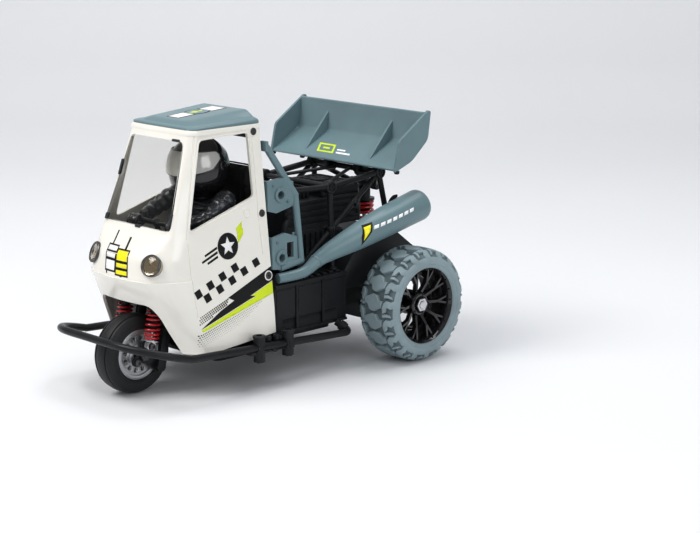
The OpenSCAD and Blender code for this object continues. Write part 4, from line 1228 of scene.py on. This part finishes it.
upper, lower = Shape(), Shape()
for s in BOTH:
    c = S(0, 14 * s, 0)
    for w in (17.5, 19, 20.5):
        upper.turned(c, STEER_UP, [(2.6, w), (2.95, w + 0.3), (2.95, w + 0.9), (2.6, w + 1.2)], 28)
    upper.bolt(S(0, 16.3 * s, 33.5), (0, s, 0), 2.2, 1.0)
    lower.bolt(S(0, 16.3 * s, 6.3), (0, s, 0), 1.9, 0.9)
    lower.bolt(S(5.4, 11.9 * s, -4.4), (0, s, 0), 2.1, 0.8)
    lower.turned(FRONT + Vector((0, 12.0 * s, 0)), (0, s, 0), [(2.9, 0), (2.9, 1.2), (2.3, 1.7),
                 (1.4, 1.7), (1.4, 2.3), (0.7, 2.5)], 6)
piece("front_shock_collars", upper, "black", "front_shock_upper")
piece("front_arm_bolts", lower, "dark_steel", "front_arm")


# ---------- bumper, cage, engine, racks ----------

def bend(p, q, r, d):
    p, q, r = Vector(p), Vector(q), Vector(r)
    s, e = q + (p - q).normalized() * d, q + (r - q).normalized() * d
    return [(1 - t) ** 2 * s + 2 * t * (1 - t) * q + t * t * e for t in [k / 8 for k in range(9)]]


tilt = math.radians(15.3)
reach = 33 / math.cos(tilt) - 30
left = [Vector((46, 41.5, 27.5))] + bend((46, 41.5, 27.5), (42, 50, 22), (170, 50, 28.6), 5)
left += [Vector((42, 50, 22)).lerp(Vector((170, 50, 28.6)), k / 12) for k in range(1, 13)]
for k in range(17):
    a = math.radians(90 * k / 16)
    u = reach + 30 * math.sin(a)
    left.append(Vector((170 + u * math.cos(tilt), 20 + 30 * math.cos(a), 28.6 + u * math.sin(tilt))))
rail = left + [mirrored(p, -1) for p in reversed(left)]
piece("bumper_tube", Shape().tube(rail, 2.3, 22), "black", stands_for=["bumper_rail"],
      angle=60)
fittings = Shape()
for s in BOTH:
    for x in (95, 118):
        fittings.turned((x, 50 * s, 32.5), (0, 0, 1), [(3.6, -4), (3.6, -0.6), (4.1, -0.4),
                        (4.1, 0.5), (3.4, 0.9), (1.9, 0.9), (1.9, -0.8), (0.4, -0.8)], 32)
        fittings.turned((x, 50 * s, 17.6), (0, 0, -1), [(3.5, -1), (3.5, 0.4), (2.4, 0.8),
                                                      (2.4, 0.3), (0.5, 0.3)], 6)
    for x in (101, 108):
        fittings.bolt((x, 46.6 * s, 29.6), (0, 0, 1), 2.0, 0.9)
    for x, y in ((98, 57), (112, 57), (121, 44.5)):
        fittings.bolt((x, y * s, 24.3), (0, 0, 1), 1.5, 1.0)
    fittings.turned((44, 45.6 * s, 24.9), (-0.37, 0.78 * s, -0.5), [(2.3, -2.5), (3.1, -2.4),
                    (3.3, 0), (2.9, 2), (2.3, 2.2)], 24)
piece("bumper_fittings", fittings, "soft_black", bevel=0.12)

cage = Shape()
top_front, top_rear = Vector((41, 30, 110.5)), Vector((-2.5, 30, 115))
for s in BOTH:
    f, r = mirrored(top_front, s), mirrored(top_rear, s)
    for a, b, q in (((95.6, 27 * s, 112.5), f, 1.9), (f, r, 2.0), (f, (41, 33 * s, 58.2), 1.8),
                    (r, (72, 31 * s, 60), 1.65), (r, (-9, 33 * s, 79.4), 1.8),
                    (r, (-20, 10 * s, 102), 1.6)):
        cage.tube([a, b], q, 18)
    for p in (f, r):
        cage.turned(p, (0, s, 0), [(3.6, -2.6), (4.2, -2.1), (4.2, 2.0), (3.8, 2.5), (2.9, 2.5),
                                   (2.9, 1.4), (0.5, 1.4)], 36)
        cage.bolt(p + Vector((0, 1.3 * s, 0)), (0, s, 0), 1.7, 1.3)
    for x, z in ((41, 84), (19.2, 98.3)):
        cage.turned((x, 31.4 * s if x > 40 else 30.3 * s, z), (0, 0, 1) if x > 40 else (-0.79, 0, 0.6),
                    [(2.3, -1.6), (2.5, -1.3), (2.5, 1.3), (2.3, 1.6)], 24)
    cage.turned((41, 33 * s, 59.6), (0, 0, 1), [(3.2, -1.4), (3.2, 0), (2.3, 1.2)], 24)
    cage.turned((-20, 10 * s, 102), (0, s, 0), [(2.9, -2.4), (3.1, -2), (3.1, 2), (2.6, 2.5)], 28)
cage.tube([(-20, -10, 102), (-20, 10, 102)], 1.48, 20)
for p in (top_front, top_rear):
    cage.tube([(p.x, -29, p.z), (p.x, 29, p.z)], 1.85, 20)
for s in BOTH:
    cage.tube([(41, 24 * s, 110.5), (0, 6 * s, 114.6)], 1.1, 14)
piece("cage_tubes", cage, "black", stands_for=["roll_cage"], bevel=0.15,
      angle=40)

engine = Shape()
for s in BOTH:
    for k in range(6):
        engine.prism(rounded(rect(40 + 4.6 * k, 42 + 4.6 * k, 61, 82), 0.6, 3), on_side,
                     22.6 * s, 24.6 * s)
    for x, z in ((8, 90), (62, 90), (62, 98), (8, 98)):
        engine.bolt((x, 21.9 * s, z), (0, s, 0), 1.5, 1.0)
    hose = [(66, 20 * s, 92), (73, 24 * s, 88), (77, 27 * s, 76), (70, 28 * s, 66), (62, 26 * s, 62)]
    engine.tube(smooth_path(hose, 8), 1.9, 14)
    engine.turned((31, 22 * s, 74), (0, s, 0), [(9.5, -2), (9.5, 3.6), (8.6, 4.4), (6.4, 4.4),
                  (6.0, 3.6), (2.6, 3.6), (2.2, 4.6), (0.6, 4.8)], 44)
    for i in range(8):
        a = math.pi * i / 4
        engine.bolt((31 + 7.6 * math.cos(a), 26.2 * s, 74 + 7.6 * math.sin(a)), (0, s, 0), 0.7, 0.7)
for k in range(7):
    engine.prism(rounded(rect(44 + 3.4 * k, 45.6 + 3.4 * k, -15, 15), 0.5, 3), on_top, 101.8,
                 106.2)
for x, y in ((5.5, 17), (35.5, 17), (5.5, -17), (35.5, -17)):
    engine.bolt((x, y, 107), (0, 0, 1), 1.4, 1.0)
engine.turned((20.5, 0, 109.2), (0, 0, 1), [(6.4, -0.5), (6.4, 0.9), (5.6, 1.4), (3.2, 1.4),
                                            (2.8, 0.8), (0.5, 0.8)], 36)
piece("engine_details", engine, "soft_black", bevel=0.18, angle=40)

panels = Shape()
for s in BOTH:
    y0, y1 = 39.9 * s, 40.7 * s
    for x0, x1 in ((37.5, 55), (58, 77), (80, 95)):
        panels.prism(rounded(rect(x0, x1, 38, 54.5), 1.2, 4), on_side, y0, y1 - 0.25 * s)
    panels.prism(rounded(rect(36, 96.4, 56, 58.2), 0.4, 3), on_side, y0, 41.3 * s)
    panels.prism(rect(36, 96.4, 27.2, 28.8), on_side, y0, 41.1 * s)
    for x in (56.5, 78.5):
        panels.prism(rounded(rect(x - 0.8, x + 0.8, 29, 55.8), 0.3, 3), on_side, y0, 41.0 * s)
    for k in range(9):
        x = 40 + 5.6 * k
        panels.prism(rounded(rect(x, x + 3, 34 * s, 38.6 * s), 0.4, 3), on_top, 57.6, 59.4)
piece("tub_panels", panels, "soft_black", bevel=0.2)

rack = Shape()
for s in BOTH:
    for c, r in (((87, 34.9, 112), 4.4), ((90, 38.9, 74.5), 4.4)):
        rack.turned(mirrored(c, s), (0, s, 0), [(2.5, 0.6), (3.5, 1.5), (4.3, 1.2), (4.6, 0.4),
                                                (4.6, -1.0), (2.5, -1.0)], 36, closed=True)
    for c in ((80.5, 34.9, 107), (92.5, 34.9, 118), (80, 38.9, 88), (93, 38.9, 84)):
        rack.bolt(mirrored(c, s), (0, s, 0), 0.9, 0.7)
piece("rack_bosses", rack, "blue_grey", angle=40)


# ---------- wing and exhaust ----------

wing = Shape()
plate = [(9.2, 119.9), (9.9, 121.4), (-12.6, 134.2), (-13.9, 136), (-15.8, 153.6), (-17.6, 153.4),
         (-15.6, 135), (-14.4, 133.0)]
wing.prism(plate, on_side, -55.8, 55.8)
end = rounded([(11.2, 119.2), (6.9, 138.5), (-19, 155.6), (-21, 154.5), (-18.6, 137),
               (-4.2, 124.8)], [1.2, 2, 1.6, 1, 3, 3])
for s in BOTH:
    wing.prism(end, on_side, 55.7 * s, 57.5 * s)
    wing.prism([(8.6, 120.6), (-16.4, 148.4), (-14.2, 133.4)], on_side, 28.5 * s, 30.1 * s)
    wing.tube(smooth_path([(9.0, 55.4 * s, 121), (-12.4, 55.4 * s, 133.8), (-15.2, 55.4 * s, 138),
                           (-16.4, 55.4 * s, 152.6)], 6), 0.7, 8)
wing.tube([(9.4, -56, 120.6), (9.4, 56, 120.6)], 0.85, 12)
wing.tube([(-16.7, -56, 153.5), (-16.7, 56, 153.5)], 1.0, 12)
piece("wing_moulding", wing, "blue_grey", stands_for=["wing"], bevel=0.3,
      angle=40)
feet = Shape()
for s in BOTH:
    for c in ((8.6, 56.6, 118.9), (8.2, 29.3, 119.2)):
        feet.turned(mirrored(c, s), (0.1, 0, -1), [(1.7, -1.2), (1.7, 0.3), (1.2, 0.9), (0.5, 0.9)],
                    20)
    feet.bolt((-2.5, 13.5 * s, 124.6), (-0.5, 0, 0.87), 1.5, 0.9)
piece("wing_screws", feet, "soft_black")

along = Vector((-22.5, 0, 12.8)).normalized()
up = Vector((12.8, 0, 22.5)).normalized()


def on_wing(a, b, d):
    """a across, b up the wing's main face, d off it."""
    p = Vector((9.9, 0, 121.4)) + along * b + up * d
    return Vector((p.x, a, p.z))


def flat_print(name, polys, mat, place, lift=0.12):
    s = Shape()
    for poly in polys:
        s.prism(poly, place, 0.02, lift)
    return piece(name, s, mat)


def lean_box(a0, a1, b0, b1, lean=0.5):
    return [(a0 - lean * b0, b0), (a1 - lean * b0, b0), (a1 - lean * b1, b1), (a0 - lean * b1, b1)]


flat_print("wing_lime", [lean_box(-16, -1, 5, 6.4), lean_box(-16, -1, 12.1, 13.5),
                         lean_box(-16, -14.4, 6.4, 12.1), lean_box(-2.6, -1, 6.4, 12.1),
                         lean_box(-11.5, -5.5, 8.4, 10.1)], "print_lime", on_wing)
flat_print("wing_dashes", [lean_box(1.5, 14, 5.4, 7), lean_box(1.5, 9, 8.4, 9.8)],
           "print_white", on_wing)

EXHAUST = [(93, 39, 62, 3.1), (75, 42, 63.6, 3.4), (64, 42.8, 69.4, 4.4), (55, 45.5, 74.2, 5.8),
           (38, 50, 81, 8), (19, 53.2, 87.6, 9.4), (-12.5, 54, 95.2, 10.1)]
line = smooth_path([Vector(p) for p in EXHAUST], 10)
TAIL = Vector((-0.971, 0, 0.24))
for d, r in ((1.2, 10.05), (2.6, 9.7), (3.8, 9.0), (4.5, 8.1), (4.6, 7.4), (3.8, 6.9), (1.5, 6.6)):
    end = Vector((-12.5, 54, 95.2)) + TAIL * d
    line.append(Vector((*end, r)))
pipe = Shape()
t_rings = []
for k, q in enumerate(line):
    prv, nxt = line[max(k - 1, 0)].xyz, line[min(k + 1, len(line) - 1)].xyz
    t = (nxt - prv).normalized()
    if k > len(line) - 9:
        t = TAIL
    a = t.cross(Vector((0, 0, 1))).normalized()
    b = a.cross(t)
    t_rings.append([q.xyz + q.w * (a * math.cos(x) + b * math.sin(x))
                    for x in round_about(56)])
pipe.loft(t_rings)
pipe.turned((64.5, 42.7, 69.1), (-0.83, 0.03, 0.55), [(4.0, -1), (4.62, -0.5), (4.62, 0.5),
                                                     (4.2, 1)], 32, closed=True)
exhaust = piece("exhaust_pipe", pipe, "blue_grey", stands_for=["exhaust"],
                angle=45)
EXH_BVH = BVHTree.FromObject(exhaust, bpy.context.evaluated_depsgraph_get())
aim_out = from_side(1)


decal("exhaust_chevron", [[(37.4, 89.3), (31.2, 91.0), (33.2, 85.6), (39.8, 77.6), (40.2, 82.4)]],
      "print_black", EXH_BVH, aim_out, 0.06)
decal("exhaust_flash", [[(37.2, 88.2), (32.6, 89.6), (34.3, 85.8), (38.8, 80.2), (38.0, 84.2)]],
      "print_yellow", EXH_BVH, aim_out, 0.1)
dashes = []
for k in range(7):
    x, z = 30.6 - 4.7 * k, 88.9 + 1.18 * k
    dashes.append([(x + 0.4, z), (x - 3.0, z + 0.86), (x - 2.2, z - 1.3), (x + 1.2, z - 2.1)])
decal("exhaust_dashes", dashes, "print_white", EXH_BVH, aim_out, 0.08)


# ---------- small chassis pieces ----------

wires = Shape()
wires.tube(smooth_path([(75, 8, 30), (66, 10, 38), (60, 4, 36)], 8), 0.6, 8)
wires.tube(smooth_path([(75, 5, 30), (68, 5, 37), (60, 0, 36)], 8), 0.6, 8)
piece("battery_leads", wires, "red")
under = Shape()
for x in (42, 66, 140):
    for s in BOTH:
        under.bolt((x, 24 * s, 21.6), (0, 0, -1), 1.6, 0.8)
for s in BOTH:
    under.prism(rounded(rect(48, 144, 14, 16), 0.5, 3),
                lambda a, b, d, s=s: Vector((a, (b + 10) * s, d)), 20.6, 21.7)
piece("chassis_screws", under, "dark_steel", bevel=0.1)


# ---------- floor, lights, camera ----------

def stage_floor():
    s = Shape()
    prof = [(900, 0), (-700, 0), (-900, 12), (-1060, 70), (-1160, 180), (-1220, 340), (-1240, 1500)]
    c, n = math.cos(math.radians(45)), math.sin(math.radians(45))
    rings = [[(d * c - w * n, d * n + w * c, z) for w in (-2500, 2500)] for d, z in
             [(p[0] * 1.0, p[1]) for p in prof]]
    verts = [p for r in rings for p in r]
    s.add(verts, [[2 * i, 2 * i + 1, 2 * i + 3, 2 * i + 2] for i in range(len(rings) - 1)])
    me = raw_mesh("studio_floor", s)
    m = shade("studio_paper", (0.80, 0.81, 0.83), 0.7, blotch=(3, 0.01), grain=(400, 0.02))
    me.materials.append(m)
    soften(me, 80)
    o = bpy.data.objects.new("studio_floor", me)
    bpy.context.scene.collection.objects.link(o)
    o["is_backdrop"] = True


stage_floor()


def lamp(name, place, aim, size, power, colour=(1, 1, 1)):
    data = bpy.data.lights.new(name, "AREA")
    data.shape, data.size, data.energy, data.color = "SQUARE", size, power, colour
    o = bpy.data.objects.new(name, data)
    bpy.context.scene.collection.objects.link(o)
    o.location = Vector(place)
    o.rotation_euler = (Vector(aim) - Vector(place)).to_track_quat("-Z", "Y").to_euler()


lamp("key", (0.75, -0.35, 1.15), (0.02, 0, 0.05), 0.7, 9.5, (1.0, 0.985, 0.96))
lamp("fill", (0.2, 1.4, 0.7), (0.0, 0, 0.06), 0.9, 4.2, (0.97, 0.985, 1.0))
lamp("top", (-0.35, 0.1, 1.3), (0, 0, 0.05), 0.8, 5)
world = bpy.data.worlds.new("studio")
world.use_nodes = True
world.node_tree.nodes["Background"].inputs["Color"].default_value = (0.97, 0.98, 1.0, 1)
world.node_tree.nodes["Background"].inputs["Strength"].default_value = 0.40
bpy.context.scene.world = world
view = bpy.context.scene.view_settings
view.view_transform, view.exposure, view.gamma = "Standard", 0.3, 0.86

PITCH, YAW, ROLL = math.radians(12.63), math.radians(45.17), math.radians(0.25)
back = Vector((math.cos(YAW) * math.cos(PITCH), math.sin(YAW) * math.cos(PITCH), math.sin(PITCH)))
place = P((-7.13, 0, 47.71)) + back * 1.17155
right = (-back).cross(Vector((0, 0, 1))).normalized()
level = right.cross(-back)
right2 = right * math.cos(ROLL) + level * math.sin(ROLL)
up2 = level * math.cos(ROLL) - right * math.sin(ROLL)
camera = bpy.data.objects.new("camera", bpy.data.cameras.new("camera"))
bpy.context.scene.collection.objects.link(camera)
camera.data.sensor_width, camera.data.lens = 36, 91.6
camera.data.clip_start, camera.data.clip_end = 0.01, 20
camera.matrix_world = Matrix((
    (right2.x, up2.x, back.x, place.x), (right2.y, up2.y, back.y, place.y),
    (right2.z, up2.z, back.z, place.z), (0, 0, 0, 1)))
bpy.context.scene.camera = camera

low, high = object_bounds()
